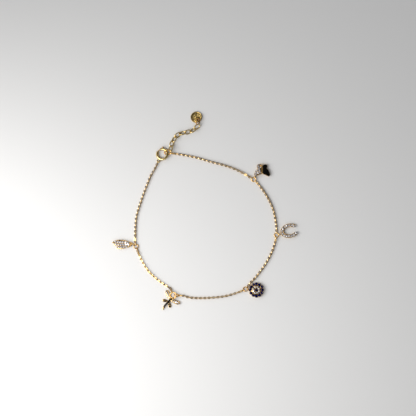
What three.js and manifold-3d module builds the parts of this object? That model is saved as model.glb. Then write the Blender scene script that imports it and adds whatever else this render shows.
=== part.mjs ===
// A charm bracelet lying open on a table: six stretches of fine cable chain joined by jump rings,
// five flat charms, a sprung ring clasp and an extender chain that ends in a round tag.
// Millimetres, +Z up, the table at Z = 0. The clasp's side of the loop is towards +Y.
import * as THREE from 'three';
import { mergeVertices } from 'three/addons/utils/BufferGeometryUtils.js';
import Module from 'manifold-3d';

const wasm = await Module();
wasm.setup();

// ---------------------------------------------------------------- driving dimensions
const originShift = [-0.12, 0.183, 0]; // puts the middle of the whole part's footprint at the origin
const hair = 0.03; // running gap between metal pieces that hang in each other
const seatGap = 0.03; // gap between a stone or an enamel fill and its seat
const stoneFacets = 8;

const chain = { width: 1.0, linkLength: 1.4, linkWire: 0.24, sides: 8, step: 2.2 };
const linkSides = { round: 14, small: 12, wire: 6, thinWire: 5 };

const extenderLink = { length: 3.06, width: 1.95, wire: 0.36, roll: 45 };

const clasp = {
  center: [-17.2, 22.2], radius: 2.05, tube: 0.9, bore: 0.6, sides: 8, steps: 26, lift: 0.5,
  gapStart: 112, gapEnd: 150, eyeBearing: 241, eyeOuter: 1.5, eyeWire: 0.36, eyeReach: 3.1,
};
const gate = {
  bolt: 0.42, tail: 78, tip: 156, travel: 44, leverBearing: 85, neckWidth: 0.34, neckHeight: 0.18,
  slotHeight: 0.3, slotMargin: 7, headLength: 0.45, headWidth: 0.8, headHeight: 0.6,
};
const tag = {
  center: [-3.53, 37.41], radius: 2.3, thickness: 0.4, rim: 0.28, sunk: 0.08,
  hole: 0.54, holeReach: 1.5, holeBearing: -48,
};

// Jump rings: outer diameter, wire, centre, bearing of the axis that they lean about, and the lean.
const jumpRings = {
  junction_ring: { outer: 3.0, wire: 0.4, at: [-14.98, 22.91, 1.24], bearing: 10.5, lean: 52.7 },
  tag_ring: { outer: 2.8, wire: 0.38, at: [-2.98, 35.59, 1.16], bearing: 79.6, lean: 55.2 },
  butterfly_ring: { outer: 2.1, wire: 0.36, at: [19.52, 12.0, 0.56], bearing: -37, lean: 12 },
  horseshoe_ring: { outer: 2.1, wire: 0.36, at: [28.48, -10.48, 0.56], bearing: -90, lean: 12 },
  eye_ring: { outer: 2.1, wire: 0.36, at: [16.0, -31.88, 0.56], bearing: 210, lean: 12 },
  dragonfly_ring: { outer: 2.8, wire: 0.36, at: [-12.54, -34.32, 0.74], bearing: -73.4, lean: 19.1 },
  dragonfly_link_ring: { outer: 2.16, wire: 0.36, at: [-11.37, -34.34, 0.91], bearing: 162.7, lean: 53.9 },
  wing_ring: { outer: 2.1, wire: 0.36, at: [-27.44, -14.96, 0.56], bearing: 103, lean: 12 },
};

// Chain stretches, clockwise from the clasp: the ring held at each end and its bearing from that
// ring's centre, and the points that the stretch lies along between them.
const stretches = [
  { from: 'junction_ring', fromBearing: -12.4, to: 'butterfly_ring', toBearing: 152,
    route: [[-12.0, 22.4], [-8.4, 21.84], [-3.4, 20.8], [1.6, 19.32], [6.0, 18.16], [9.2, 17.2],
      [12.8, 15.76], [16.0, 14.06], [17.6, 13.06]] },
  { from: 'butterfly_ring', fromBearing: -47, to: 'horseshoe_ring', toBearing: 92,
    route: [[21.2, 10.2], [23.0, 7.8], [24.8, 5.04], [26.2, 2.28], [27.12, 0], [27.8, -2.8],
      [28.28, -6.0], [28.48, -8.2]] },
  { from: 'horseshoe_ring', fromBearing: -98, to: 'eye_ring', toBearing: 46,
    route: [[28.0, -12.7], [27.12, -15.6], [25.76, -18.8], [23.92, -22.0], [21.6, -25.28],
      [19.6, -27.7], [17.85, -29.5]] },
  { from: 'eye_ring', fromBearing: 204, to: 'dragonfly_link_ring', toBearing: 0,
    route: [[13.6, -32.96], [11.52, -33.68], [8.28, -34.6], [3.6, -35.2], [-2.0, -35.44],
      [-6.2, -35.2], [-8.6, -34.5]] },
  { from: 'dragonfly_ring', fromBearing: 112, to: 'wing_ring', toBearing: -72,
    route: [[-13.7, -31.7], [-15.4, -30.6], [-17.8, -29.0], [-20.8, -26.48], [-23.2, -23.84],
      [-25.2, -20.52], [-26.4, -17.8]] },
  { from: 'wing_ring', fromBearing: 105, to: 'clasp_eye', toBearing: 241,
    route: [[-27.86, -12.6], [-27.8, -10.4], [-27.76, -7.6], [-27.6, -4.6], [-27.08, -1.6],
      [-26.12, 1.6], [-25.12, 4.68], [-24.0, 7.8], [-22.88, 10.72], [-22.0, 13.0], [-20.6, 15.6],
      [-19.6, 17.5]] },
];

// Centres of the extender's links, in order from the junction ring.
const extenderLinks = [
  [-13.81, 24.35, 1.47], [-13.38, 26.37, 0.85], [-12.4, 28.29, 0.75], [-11.07, 29.97, 0.81],
  [-9.08, 30.8, 0.79], [-6.95, 31.24, 0.75], [-4.9, 31.91, 0.77], [-3.29, 33.32, 0.91],
];

const butterfly = {
  center: [22.92, 15.68], plate: 0.85, pocket: 0.22, rim: 0.16, backing: 0.45, enamelTop: 1.05,
  bodyRadius: 0.3, bodyTop: 1.75, bodyBottom: -1.35,
};
const horseshoe = {
  center: [33.72, -8.7], turn: 12, halfLength: 3.05, halfWidth: 2.15, band: 1.25, height: 0.8,
  openAngle: 40, stones: 14, stone: 0.46,
};
const eye = {
  center: [20.28, -32.24], body: 2.45, height: 1.05, chamfer: 0.12, outerStones: 12, outerReach: 2.4,
  outerStone: 0.52, cupWall: 0.07, centerStone: 0.48, innerStones: 8, innerReach: 1.22, innerStone: 0.42,
  stoneDepth: 0.4, stoneCrown: 0.2, bail: 1.1,
};
const dragonfly = {
  center: [-13.92, -36.32], turn: -44, plate: 0.7, pocket: 0.2, rim: 0.14, backing: 0.4,
  enamelTop: 0.95, foreTurn: 25, hindTurn: -31, foreRoot: [0.25, 0.35], hindRoot: [0.25, -0.75],
};
const angelWing = { root: [-29.3, -13.95], plate: 0.75, proud: 0.1, stone: 0.43 };
const bail = { outer: 1.35, wire: 0.32 };

// ---------------------------------------------------------------- finishes
const gold = { color: 0xd9b877, metalness: 1.0, roughness: 0.28 };
const warmGold = { color: 0xcf9a48, metalness: 1.0, roughness: 0.3 };
const paveGold = { color: 0xd8c8a4, metalness: 0.8, roughness: 0.25 };
const blackEnamel = { color: 0x0a0a0a, metalness: 0.0, roughness: 0.2 };
const navyStone = { color: 0x0b1240, metalness: 0.0, roughness: 0.08 };

// ---------------------------------------------------------------- helpers
const radians = (degrees) => THREE.MathUtils.degToRad(degrees);
const onBearing = (reach, degrees) =>
  [reach * Math.cos(radians(degrees)), reach * Math.sin(radians(degrees))];
const bearingOf = (dx, dy) => THREE.MathUtils.radToDeg(Math.atan2(dy, dx));

// Turns closed geometry into a solid: shared corners are merged and empty triangles dropped.
function solidOf(geometry) {
  const bare = geometry.clone();
  bare.deleteAttribute('normal');
  bare.deleteAttribute('uv');
  const merged = mergeVertices(bare, 1e-4);
  const triangles = [];
  for (let i = 0; i < merged.index.count; i += 3) {
    const [a, b, c] = [0, 1, 2].map((k) => merged.index.getX(i + k));
    if (a !== b && b !== c && c !== a) triangles.push(a, b, c);
  }
  return new wasm.Manifold(new wasm.Mesh({
    numProp: 3,
    vertProperties: new Float32Array(merged.attributes.position.array),
    triVerts: new Uint32Array(triangles),
  }));
}

function geometryOf(solid) {
  const mesh = solid.getMesh();
  const geometry = new THREE.BufferGeometry();
  geometry.setAttribute('position', new THREE.BufferAttribute(mesh.vertProperties, 3));
  geometry.setIndex(new THREE.BufferAttribute(mesh.triVerts, 1));
  return geometry;
}

const join = (geometries) => geometries.map(solidOf).reduce((whole, next) => whole.add(next));

function piece(name, geometry, finish) {
  const mesh = new THREE.Mesh(geometry, new THREE.MeshStandardMaterial(finish));
  mesh.geometry.computeVertexNormals();
  mesh.name = name;
  return mesh;
}

const polygon = (radius, sides) => new THREE.Shape(
  Array.from({ length: sides }, (_, i) => {
    const [x, y] = onBearing(radius, (360 * (i + 0.5)) / sides);
    return new THREE.Vector2(x, y);
  }),
);

// A rod of regular section along a curve, closed at both ends.
const rodAlong = (curve, diameter, sides, steps) =>
  new THREE.ExtrudeGeometry(polygon(diameter / 2, sides), {
    steps, extrudePath: curve, bevelEnabled: false,
  });

class Arc extends THREE.Curve {
  constructor(radius, start, end) {
    super();
    Object.assign(this, { radius, start, end });
  }

  getPoint(t, target = new THREE.Vector3()) {
    const [x, y] = onBearing(this.radius, THREE.MathUtils.lerp(this.start, this.end, t));
    return target.set(x, y, 0);
  }
}

class Oval extends THREE.Curve {
  constructor(length, width) {
    super();
    Object.assign(this, { length, width });
  }

  getPoint(t, target = new THREE.Vector3()) {
    const [x, y] = onBearing(1, 360 * t);
    const power = this.length > this.width ? 0.8 : 1; // long links have straighter sides
    const rounded = (value) => Math.sign(value) * Math.abs(value) ** power;
    return target.set((this.length / 2) * rounded(x), (this.width / 2) * rounded(y), 0);
  }
}

// Part of a longer curve, between two lengths measured along it.
class Stretch extends THREE.Curve {
  constructor(curve, trimStart, trimEnd) {
    super();
    const length = curve.getLength();
    Object.assign(this, { curve, start: trimStart / length, end: 1 - trimEnd / length });
  }

  getPoint(t, target = new THREE.Vector3()) {
    return target.copy(this.curve.getPointAt(THREE.MathUtils.lerp(this.start, this.end, t)));
  }
}

// A closed loop of round wire in the XY plane, its longer way along X.
const wireLoop = (outerLength, outerWidth, wire, steps, wireSides) =>
  new THREE.TubeGeometry(new Oval(outerLength - wire, outerWidth - wire), steps, wire / 2, wireSides, true);

// Lays a loop from the XY plane along a heading, rolled about its own length and pitched upwards.
function lay(object, position, heading, roll, pitch = 0) {
  object.position.set(...position);
  object.rotation.set(radians(roll), radians(-pitch), radians(heading), 'ZYX');
  return object;
}

const laidGeometry = (geometry, position, heading, roll) => {
  const carrier = lay(new THREE.Object3D(), position, heading, roll);
  carrier.updateMatrix();
  return geometry.clone().applyMatrix4(carrier.matrix);
};

// The point of a leaning ring's centre line that is seen from above at this bearing, and the wire's
// direction there.
function ringGrip(ring, bearing) {
  const radius = (ring.outer - ring.wire) / 2;
  const off = radians(bearing - ring.bearing);
  const lean = radians(ring.lean);
  const turn = Math.atan2(Math.sin(off) / Math.cos(lean), Math.cos(off));
  const along = new THREE.Vector3(...onBearing(1, ring.bearing), 0);
  const across = new THREE.Vector3(...onBearing(Math.cos(lean), ring.bearing + 90), Math.sin(lean));
  const mix = (a, b) => along.clone().multiplyScalar(a).addScaledVector(across, b);
  return {
    point: mix(radius * Math.cos(turn), radius * Math.sin(turn)).add(new THREE.Vector3(...ring.at)),
    wireDirection: mix(-Math.sin(turn), Math.cos(turn)),
  };
}

// A smooth closed outline through a few points, as a list of corners.
const outlineThrough = (points, count) => {
  const curve = new THREE.CatmullRomCurve3(points.map(([x, y]) => new THREE.Vector3(x, y, 0)), true);
  return curve.getSpacedPoints(count).slice(0, count).map((p) => new THREE.Vector2(p.x, p.y));
};

// The same outline drawn in by a distance; outlines run counter-clockwise.
const drawnIn = (outline, distance) => outline.map((point, i) => {
  const before = outline[(i + outline.length - 1) % outline.length];
  const after = outline[(i + 1) % outline.length];
  const along = after.clone().sub(before).normalize();
  return new THREE.Vector2(point.x - along.y * distance, point.y + along.x * distance);
});

const slab = (outline, bottom, top) =>
  new THREE.ExtrudeGeometry(new THREE.Shape(outline), { depth: top - bottom, bevelEnabled: false })
    .translate(0, 0, bottom);

// A fill of enamel with its upper edge rounded off.
const fill = (outline, bottom, top, edge) =>
  new THREE.ExtrudeGeometry(new THREE.Shape(outline), {
    depth: top - bottom - 2 * edge, bevelEnabled: true, bevelThickness: edge, bevelSize: edge,
    bevelOffset: -edge, bevelSegments: 1,
  }).translate(0, 0, bottom + edge);

// A round stone: eight main facets up to a flat table, its girdle at height 0.
function roundStone(radius, depth, crown) {
  const girdle = 0.05;
  const table = radius * 0.6;
  const profile = [[0, -depth], [radius, -girdle], [radius, girdle], [table, crown], [0, crown]];
  return new THREE.LatheGeometry(profile.map(([r, h]) => new THREE.Vector2(r, h)), stoneFacets)
    .rotateX(Math.PI / 2);
}

// A stone set into metal: only its crown and a short stub under the girdle are made.
function setStone(x, y, height, radius) {
  const stub = 0.3;
  const profile = [[0, -stub], [radius * 0.85, -stub], [radius, 0], [radius * 0.58, radius * 0.42],
    [0, radius * 0.42]];
  return new THREE.LatheGeometry(profile.map(([r, h]) => new THREE.Vector2(r, h)), stoneFacets)
    .rotateX(Math.PI / 2).translate(x, y, height);
}

// A plate with a sunk field: a rim is left standing round it.
const pavePlate = (outline, height, pocket, rim) =>
  solidOf(slab(outline, 0, height))
    .subtract(solidOf(slab(drawnIn(outline, rim), height - pocket, height + 1)));

// An upright bail loop that holds a ring at the grip, with its length along the heading.
function bailAt(grip, heading, ringWire, away, outer) {
  const reach = outer / 2 - bail.wire - ringWire / 2 - hair;
  const [dx, dy] = onBearing(reach + away, heading);
  const loop = wireLoop(outer + 2 * away, outer, bail.wire, linkSides.small, linkSides.thinWire);
  return laidGeometry(loop, [grip.x + dx, grip.y + dy, Math.max(grip.z, outer / 2)], heading, 90);
}

const bracelet = new THREE.Group();
bracelet.position.set(...originShift);

// ---------------------------------------------------------------- clasp
function makeClasp() {
  const group = new THREE.Group();
  const halfTube = clasp.tube / 2;
  const tilt = Math.atan2(clasp.lift, 2 * clasp.radius);
  group.position.set(...clasp.center, halfTube + clasp.lift / 2);
  group.rotation.y = -tilt;

  const overrun = 3;
  const wall = rodAlong(
    new Arc(clasp.radius, clasp.gapEnd, clasp.gapStart + 360),
    clasp.tube, clasp.sides, clasp.steps,
  );
  const bore = rodAlong(
    new Arc(clasp.radius, clasp.gapEnd - overrun, clasp.gapStart + 360 + overrun),
    clasp.bore, clasp.sides, clasp.steps,
  );
  const slotShape = new THREE.Shape();
  const slotStart = radians(gate.leverBearing - gate.travel - gate.slotMargin);
  const slotEnd = radians(gate.leverBearing + gate.slotMargin);
  slotShape.absarc(0, 0, clasp.radius + clasp.tube, slotStart, slotEnd, false);
  slotShape.absarc(0, 0, clasp.radius + clasp.bore / 4, slotEnd, slotStart, true);
  const slot = new THREE.ExtrudeGeometry(slotShape, {
    depth: gate.slotHeight, bevelEnabled: false, curveSegments: 6,
  }).translate(0, 0, -gate.slotHeight / 2);
  const [eyeX, eyeY] = onBearing(clasp.eyeReach, clasp.eyeBearing);
  const eyeLoop = wireLoop(clasp.eyeOuter, clasp.eyeOuter, clasp.eyeWire, linkSides.small, linkSides.wire)
    .translate(eyeX, eyeY, 0);
  const housing = solidOf(wall).subtract(solidOf(bore)).subtract(solidOf(slot)).add(solidOf(eyeLoop));
  group.add(piece('clasp_housing', geometryOf(housing), gold));

  const bolt = rodAlong(new Arc(clasp.radius, gate.tail, gate.tip), gate.bolt, 8, 8);
  const headStart = clasp.radius + halfTube + 0.07;
  const neck = new THREE.BoxGeometry(headStart - clasp.radius + 0.1, gate.neckWidth, gate.neckHeight)
    .translate((headStart + clasp.radius + 0.1) / 2, 0, 0);
  const head = new THREE.CylinderGeometry(gate.headHeight / 2, gate.headHeight / 2, gate.headWidth, 8)
    .scale(gate.headLength / gate.headHeight, 1, 1)
    .translate(headStart + gate.headLength / 2, 0, 0);
  const lever = [neck, head].map((g) => g.rotateZ(radians(gate.leverBearing)));
  group.add(piece('clasp_gate', geometryOf(join([bolt, ...lever])), warmGold));
  bracelet.add(group);

  const tilted = (reach, bearing) =>
    new THREE.Vector3(...onBearing(reach, bearing), 0).applyAxisAngle(new THREE.Vector3(0, 1, 0), -tilt);
  const hookReach = clasp.eyeReach + (clasp.eyeOuter - clasp.eyeWire) / 2;
  return {
    point: tilted(hookReach, clasp.eyeBearing).add(group.position),
    wireDirection: tilted(1, clasp.eyeBearing + 90),
  };
}

// ---------------------------------------------------------------- jump rings and extender
function makeRings() {
  for (const [name, ring] of Object.entries(jumpRings)) {
    const loop = wireLoop(ring.outer, ring.outer, ring.wire, linkSides.round, linkSides.wire);
    bracelet.add(lay(piece(name, loop, warmGold), ring.at, ring.bearing, ring.lean));
  }
}

function makeExtender() {
  const { length, width, wire, roll } = extenderLink;
  const centers = extenderLinks.map((link) => new THREE.Vector3(...link));
  centers.forEach((center, i) => {
    const before = centers[Math.max(i - 1, 0)];
    const after = centers[Math.min(i + 1, centers.length - 1)];
    const along = after.clone().sub(before);
    const heading = bearingOf(along.x, along.y);
    const pitch = bearingOf(Math.hypot(along.x, along.y), along.z);
    const loop = wireLoop(length, width, wire, linkSides.small, linkSides.wire);
    const side = i % 2 === 0 ? -roll : roll;
    bracelet.add(lay(piece(`extender_link_${i + 1}`, loop, gold), center.toArray(), heading, side, pitch));
  });
}

function makeTag() {
  const group = new THREE.Group();
  const lift = jumpRings.tag_ring.wire + hair;
  const tilt = Math.atan2(lift, tag.radius + tag.holeReach);
  group.position.set(...tag.center, tag.radius * Math.sin(tilt));
  group.rotation.set(0, -tilt, radians(tag.holeBearing), 'ZYX');
  const disc = new THREE.CylinderGeometry(tag.radius, tag.radius, tag.thickness, 28)
    .rotateX(Math.PI / 2).translate(0, 0, tag.thickness / 2);
  const hole = new THREE.CylinderGeometry(tag.hole, tag.hole, 3, 10)
    .rotateX(Math.PI / 2).translate(tag.holeReach, 0, 0);
  const field = new THREE.CylinderGeometry(tag.radius - tag.rim, tag.radius - tag.rim, 1, 28)
    .rotateX(Math.PI / 2).translate(0, 0, tag.thickness - tag.sunk + 0.5);
  const disk = solidOf(disc).subtract(solidOf(hole)).subtract(solidOf(field));
  group.add(piece('tag_disc', geometryOf(disk), warmGold));
  bracelet.add(group);
}

// ---------------------------------------------------------------- chain
// Each stretch is a tube of the chain's width that ends in a real link hooked on its ring.
function makeChain(eyeGrip) {
  const wireRadius = { clasp_eye: clasp.eyeWire / 2 };
  for (const [name, ring] of Object.entries(jumpRings)) wireRadius[name] = ring.wire / 2;
  const gripOf = (name, bearing) => (name === 'clasp_eye' ? eyeGrip : ringGrip(jumpRings[name], bearing));
  // Where a hooked link lies: it hangs on the ring's wire and stands square to it.
  const hookedLink = (name, bearing, toward) => {
    const { point, wireDirection } = gripOf(name, bearing);
    const slack = chain.linkLength / 2 - chain.linkWire - wireRadius[name] - 2 * hair;
    const away = new THREE.Vector3(toward[0] - point.x, toward[1] - point.y, 0).setLength(slack);
    const center = point.add(away);
    center.z = Math.max(center.z, chain.width / 2);
    const heading = bearingOf(toward[0] - center.x, toward[1] - center.y);
    const side = wireDirection.applyAxisAngle(new THREE.Vector3(0, 0, 1), -radians(heading));
    return { center, heading, roll: bearingOf(side.z, -side.y) };
  };
  stretches.forEach(({ from, fromBearing, to, toBearing, route }, i) => {
    const first = hookedLink(from, fromBearing, route[0]);
    const last = hookedLink(to, toBearing, route[route.length - 1]);
    const middle = route.map(([x, y]) => new THREE.Vector3(x, y, chain.width / 2));
    const curve = new THREE.CatmullRomCurve3(
      [first.center, ...middle, last.center], false, 'centripetal',
    );
    const tubeTrim = chain.linkLength / 2 - chain.linkWire + 0.05;
    const tubePath = new Stretch(curve, tubeTrim, tubeTrim);
    const steps = Math.round(curve.getLength() / chain.step);
    const tube = rodAlong(tubePath, chain.width, chain.sides, steps);
    const loop = wireLoop(
      chain.linkLength, chain.width, chain.linkWire, linkSides.small, linkSides.thinWire,
    );
    const ends = [first, last].map(({ center, heading, roll }) =>
      laidGeometry(loop, center.toArray(), heading, roll));
    bracelet.add(piece(`chain_${i + 1}`, geometryOf(join([tube, ...ends])), gold));
  });
}

// ---------------------------------------------------------------- charms
// Each charm lies flat: its group stands at the table's height, and its plan is in its own frame.
function charmGroup(center, turn = 0) {
  const group = new THREE.Group();
  group.position.set(...center, 0);
  group.rotation.z = radians(turn);
  group.updateMatrixWorld();
  bracelet.add(group);
  return group;
}

// A bail loop from a ring to a charm, in the charm's own frame.
function bailFor(group, ringName, { bearing, heading = bearing, away = 0, outer = bail.outer }) {
  const ring = jumpRings[ringName];
  const loop = bailAt(ringGrip(ring, bearing).point, heading, ring.wire, away, outer);
  return loop.applyMatrix4(group.matrix.clone().invert());
}

const mirrored = (outline) => outline.map((p) => new THREE.Vector2(-p.x, p.y)).reverse();

function makeButterfly() {
  const { plate, pocket, rim, backing, enamelTop, bodyRadius, bodyTop, bodyBottom } = butterfly;
  const group = charmGroup(butterfly.center);
  const wing = outlineThrough([
    [0.1, -1.25], [1.1, -1.75], [2.0, -2.2], [2.75, -2.42], [3.1, -1.9], [2.9, -0.8], [2.4, 0.1],
    [1.85, 0.6], [2.0, 1.15], [2.08, 1.8], [1.7, 2.3], [1.05, 2.38], [0.5, 2.1], [0.1, 1.5],
  ], 32);
  const stones = [
    [-1.45, 1.62, 0.45], [-0.66, 1.2, 0.3], [-1.22, 0.7, 0.36], [-1.95, -0.1, 0.4], [-1.1, -0.18, 0.38],
    [-2.4, -0.95, 0.42], [-1.5, -1.1, 0.42], [-0.72, -0.85, 0.33], [-2.42, -1.82, 0.34],
  ];
  const body = new THREE.CapsuleGeometry(bodyRadius, bodyTop - bodyBottom, 2, 8)
    .translate(0, (bodyTop + bodyBottom) / 2, enamelTop - bodyRadius + 0.1);
  const underBody = polygon(bodyRadius, 8).getPoints().map((p) => new THREE.Vector2(p.x, p.y * 4));
  const setting = pavePlate(mirrored(wing), plate, pocket, rim)
    .add(solidOf(slab(wing, 0, backing)))
    .add(join([slab(underBody, 0, plate), body]))
    .add(join(stones.map(([x, y, r]) => setStone(x, y, plate, r))))
    .add(solidOf(bailFor(group, 'butterfly_ring', { bearing: 62, away: 0.12 })));
  group.add(piece('butterfly_setting', geometryOf(setting), paveGold));

  const clear = bodyRadius + seatGap;
  const enamel = drawnIn(wing, 0.06).map((p) => new THREE.Vector2(Math.max(p.x, clear), p.y));
  const enamelFill = fill(enamel, backing + seatGap, enamelTop, 0.12);
  group.add(piece('butterfly_enamel', geometryOf(solidOf(enamelFill)), blackEnamel));
}

function makeHorseshoe() {
  const { halfLength, halfWidth, band, height, openAngle } = horseshoe;
  const group = charmGroup(horseshoe.center, horseshoe.turn);
  const sweep = (grow, count) => new THREE.EllipseCurve(
    0, 0, halfLength + grow, halfWidth + grow, radians(openAngle), radians(360 - openAngle),
  ).getSpacedPoints(count);
  const shoe = [...sweep(band / 2, 24), ...sweep(-band / 2, 24).reverse()];
  const stones = sweep(0, horseshoe.stones - 1).map((p) => setStone(p.x, p.y, height, horseshoe.stone));
  const setting = solidOf(slab(shoe, 0, height))
    .add(join(stones))
    .add(solidOf(bailFor(group, 'horseshoe_ring', { bearing: 12, away: 0.25 })));
  group.add(piece('horseshoe_setting', geometryOf(setting), paveGold));
}

const ringOf = (count, reach, shift) =>
  Array.from({ length: count }, (_, i) => onBearing(reach, (360 * (i + shift)) / count));

function makeEye() {
  const { body, height, chamfer } = eye;
  const group = charmGroup(eye.center);
  const disc = new THREE.LatheGeometry([
    [0, 0], [body - chamfer, 0], [body, chamfer], [body, height], [0, height],
  ].map(([r, h]) => new THREE.Vector2(r, h)), 24).rotateX(Math.PI / 2);
  const outer = ringOf(eye.outerStones, eye.outerReach, 0);
  const inner = ringOf(eye.innerStones, eye.innerReach, 0.5);
  const cup = eye.outerStone + eye.cupWall;
  const cups = outer.map(([x, y]) =>
    new THREE.CylinderGeometry(cup, cup, height, 10).rotateX(Math.PI / 2).translate(x, y, height / 2));
  const stoneAt = (x, y, r, grow) =>
    roundStone(r + grow, eye.stoneDepth + grow, eye.stoneCrown + grow).translate(x, y, height);
  const seats = outer.map(([x, y]) => stoneAt(x, y, eye.outerStone, seatGap));
  seats.push(stoneAt(0, 0, eye.centerStone, seatGap));
  const setting = solidOf(disc).add(join(cups)).subtract(join(seats))
    .add(join(inner.map(([x, y]) => setStone(x, y, height, eye.innerStone))))
    .add(solidOf(bailFor(group, 'eye_ring', { bearing: -8, outer: eye.bail })));
  group.add(piece('eye_setting', geometryOf(setting), paveGold));
  outer.forEach(([x, y], i) => {
    const stone = solidOf(stoneAt(x, y, eye.outerStone, 0));
    group.add(piece(`eye_stone_${i + 1}`, geometryOf(stone), navyStone));
  });
  const centerStone = solidOf(stoneAt(0, 0, eye.centerStone, 0));
  group.add(piece('eye_stone_center', geometryOf(centerStone), navyStone));
}

function makeDragonfly() {
  const { plate, pocket, rim, backing, enamelTop, foreTurn, hindTurn, foreRoot, hindRoot } = dragonfly;
  const group = charmGroup(dragonfly.center, dragonfly.turn);
  const placed = (outline, [x, y], degrees) => outline.map((p) =>
    p.clone().rotateAround(new THREE.Vector2(), radians(degrees)).add(new THREE.Vector2(x, y)));
  const foreWing = outlineThrough([
    [0, -0.26], [1.1, -0.58], [2.4, -0.8], [3.4, -0.62], [3.85, 0], [3.3, 0.56], [2.4, 0.64],
    [1.1, 0.46], [0, 0.26],
  ], 20);
  const hindWing = outlineThrough([
    [0, -0.22], [0.9, -0.5], [1.7, -0.62], [2.2, -0.25], [2.15, 0.35], [1.5, 0.55], [0.6, 0.4],
    [0, 0.22],
  ], 16);
  const stones = [[0.75, -0.05, 0.28], [1.42, -0.05, 0.34], [2.2, -0.07, 0.42], [3.08, -0.05, 0.42]];
  const foreStones = placed(stones.map(([x, y]) => new THREE.Vector2(x, y)), foreRoot, foreTurn);
  const fore = placed(foreWing, foreRoot, foreTurn);
  const hind = placed(hindWing, hindRoot, hindTurn);
  const corners = (points) => points.map(([x, y]) => new THREE.Vector2(x, y));
  const body = corners([
    [-0.34, -3.1], [0, -3.3], [0.34, -3.1], [0.38, -0.4], [0.42, 0.6], [0.2, 1.05], [-0.2, 1.05],
    [-0.42, 0.6], [-0.38, -0.4],
  ]);
  const tail = corners([
    [-0.28, -2.9], [0.12, -3.95], [0.44, -4.7], [0.62, -4.65], [0.56, -3.8], [0.28, -2.9],
  ]);
  const setting = pavePlate(fore, plate, pocket, rim)
    .add(pavePlate(mirrored(fore), plate, pocket, rim))
    .add(join([
      slab(hind, 0, backing), slab(mirrored(hind), 0, backing), slab(body, 0, plate), slab(tail, 0, plate),
    ]))
    .add(join(foreStones.flatMap((p, i) => [
      setStone(p.x, p.y, plate, stones[i][2]),
      setStone(-p.x, p.y, plate, stones[i][2]),
    ])))
    .add(solidOf(bailFor(group, 'dragonfly_ring', { bearing: 265, heading: 255, away: 0.1 })));
  group.add(piece('dragonfly_setting', geometryOf(setting), paveGold));
  const bodyFill = fill(drawnIn(body, 0.03), plate + seatGap, enamelTop + 0.25, 0.1);
  group.add(piece('dragonfly_body_enamel', geometryOf(solidOf(bodyFill)), blackEnamel));

  // The hindwings' trailing halves are enamelled and their leading halves stay gold.
  const inset = 0.06;
  const trailing = outlineThrough([
    [0.62, -0.12], [0.7, -0.38], [1.3, -0.5], [1.75, -0.52], [2.08, -0.25], [1.9, -0.04], [1.3, -0.02],
  ], 12);
  const half = placed(drawnIn(trailing, inset / 2), hindRoot, hindTurn);
  const sides = { right: half, left: mirrored(half) };
  for (const [side, outline] of Object.entries(sides)) {
    const enamel = fill(outline, backing + seatGap, enamelTop - 0.2, 0.08);
    group.add(piece(`dragonfly_wing_enamel_${side}`, geometryOf(solidOf(enamel)), blackEnamel));
  }
}

function makeAngelWing() {
  const { plate, proud, stone } = angelWing;
  const group = charmGroup(angelWing.root);
  const rows = [
    { outline: [[0.35, -0.2], [0.1, 0.4], [-1.2, 0.95], [-3.4, 1.55], [-5.6, 1.5], [-7.1, 0.95],
      [-7.55, 0.35], [-6.4, 0.3], [-4.5, 0.3], [-2.2, 0.05]],
    stones: 6, from: [-6.2, 0.88], to: [-1.3, 0.42], lift: 0.12 },
    { outline: [[0.3, -0.5], [0.3, 0.1], [-2.2, 0.3], [-4.5, 0.42], [-6.3, 0.28], [-6.95, -0.35],
      [-6.0, -0.68], [-4.2, -0.72], [-2.0, -0.75]],
    stones: 6, from: [-5.95, -0.2], to: [-1.15, -0.3], lift: 0.06 },
    { outline: [[0.05, -0.75], [-0.1, -0.35], [-2.2, -0.5], [-4.4, -0.6], [-5.6, -1.1], [-5.75, -1.75],
      [-4.6, -2.0], [-3.0, -1.85], [-1.2, -1.35]],
    stones: 4, from: [-4.85, -1.3], to: [-1.95, -1.12], lift: 0 },
  ];
  const feathers = rows.map(({ outline, lift }) =>
    slab(outlineThrough(outline, 22), 0, plate + lift - proud));
  const stones = rows.flatMap(({ stones: count, from, to, lift }) =>
    Array.from({ length: count }, (_, i) => {
      const t = i / (count - 1);
      const [x, y] = [0, 1].map((k) => THREE.MathUtils.lerp(from[k], to[k], t));
      return setStone(x, y, plate + lift, stone);
    }));
  const setting = join([...feathers, ...stones])
    .add(solidOf(bailFor(group, 'wing_ring', { bearing: 142, away: 0.25 })));
  group.add(piece('wing_setting', geometryOf(setting), paveGold));
}

makeRings();
const eyeGrip = makeClasp();
makeExtender();
makeTag();
makeChain(eyeGrip);
makeButterfly();
makeHorseshoe();
makeEye();
makeDragonfly();
makeAngelWing();

export default bracelet;
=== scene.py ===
import math

import bmesh
import bpy
from mathutils import Euler, Matrix, Vector


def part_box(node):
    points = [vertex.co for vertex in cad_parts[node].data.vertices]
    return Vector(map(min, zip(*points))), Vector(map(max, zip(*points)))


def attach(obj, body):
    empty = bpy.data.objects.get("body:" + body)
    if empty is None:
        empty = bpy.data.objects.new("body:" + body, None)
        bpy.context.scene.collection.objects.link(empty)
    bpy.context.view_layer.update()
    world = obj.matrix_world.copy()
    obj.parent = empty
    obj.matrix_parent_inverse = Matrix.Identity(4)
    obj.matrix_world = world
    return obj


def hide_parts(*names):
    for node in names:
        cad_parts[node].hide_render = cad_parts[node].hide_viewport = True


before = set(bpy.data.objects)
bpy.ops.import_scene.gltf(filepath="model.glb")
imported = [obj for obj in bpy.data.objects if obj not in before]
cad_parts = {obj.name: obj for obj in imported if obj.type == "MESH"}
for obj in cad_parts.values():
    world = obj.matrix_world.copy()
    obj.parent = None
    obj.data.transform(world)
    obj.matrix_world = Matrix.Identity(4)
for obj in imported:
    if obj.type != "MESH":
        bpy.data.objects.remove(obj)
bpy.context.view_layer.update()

print("bracelet: frame loaded")

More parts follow.
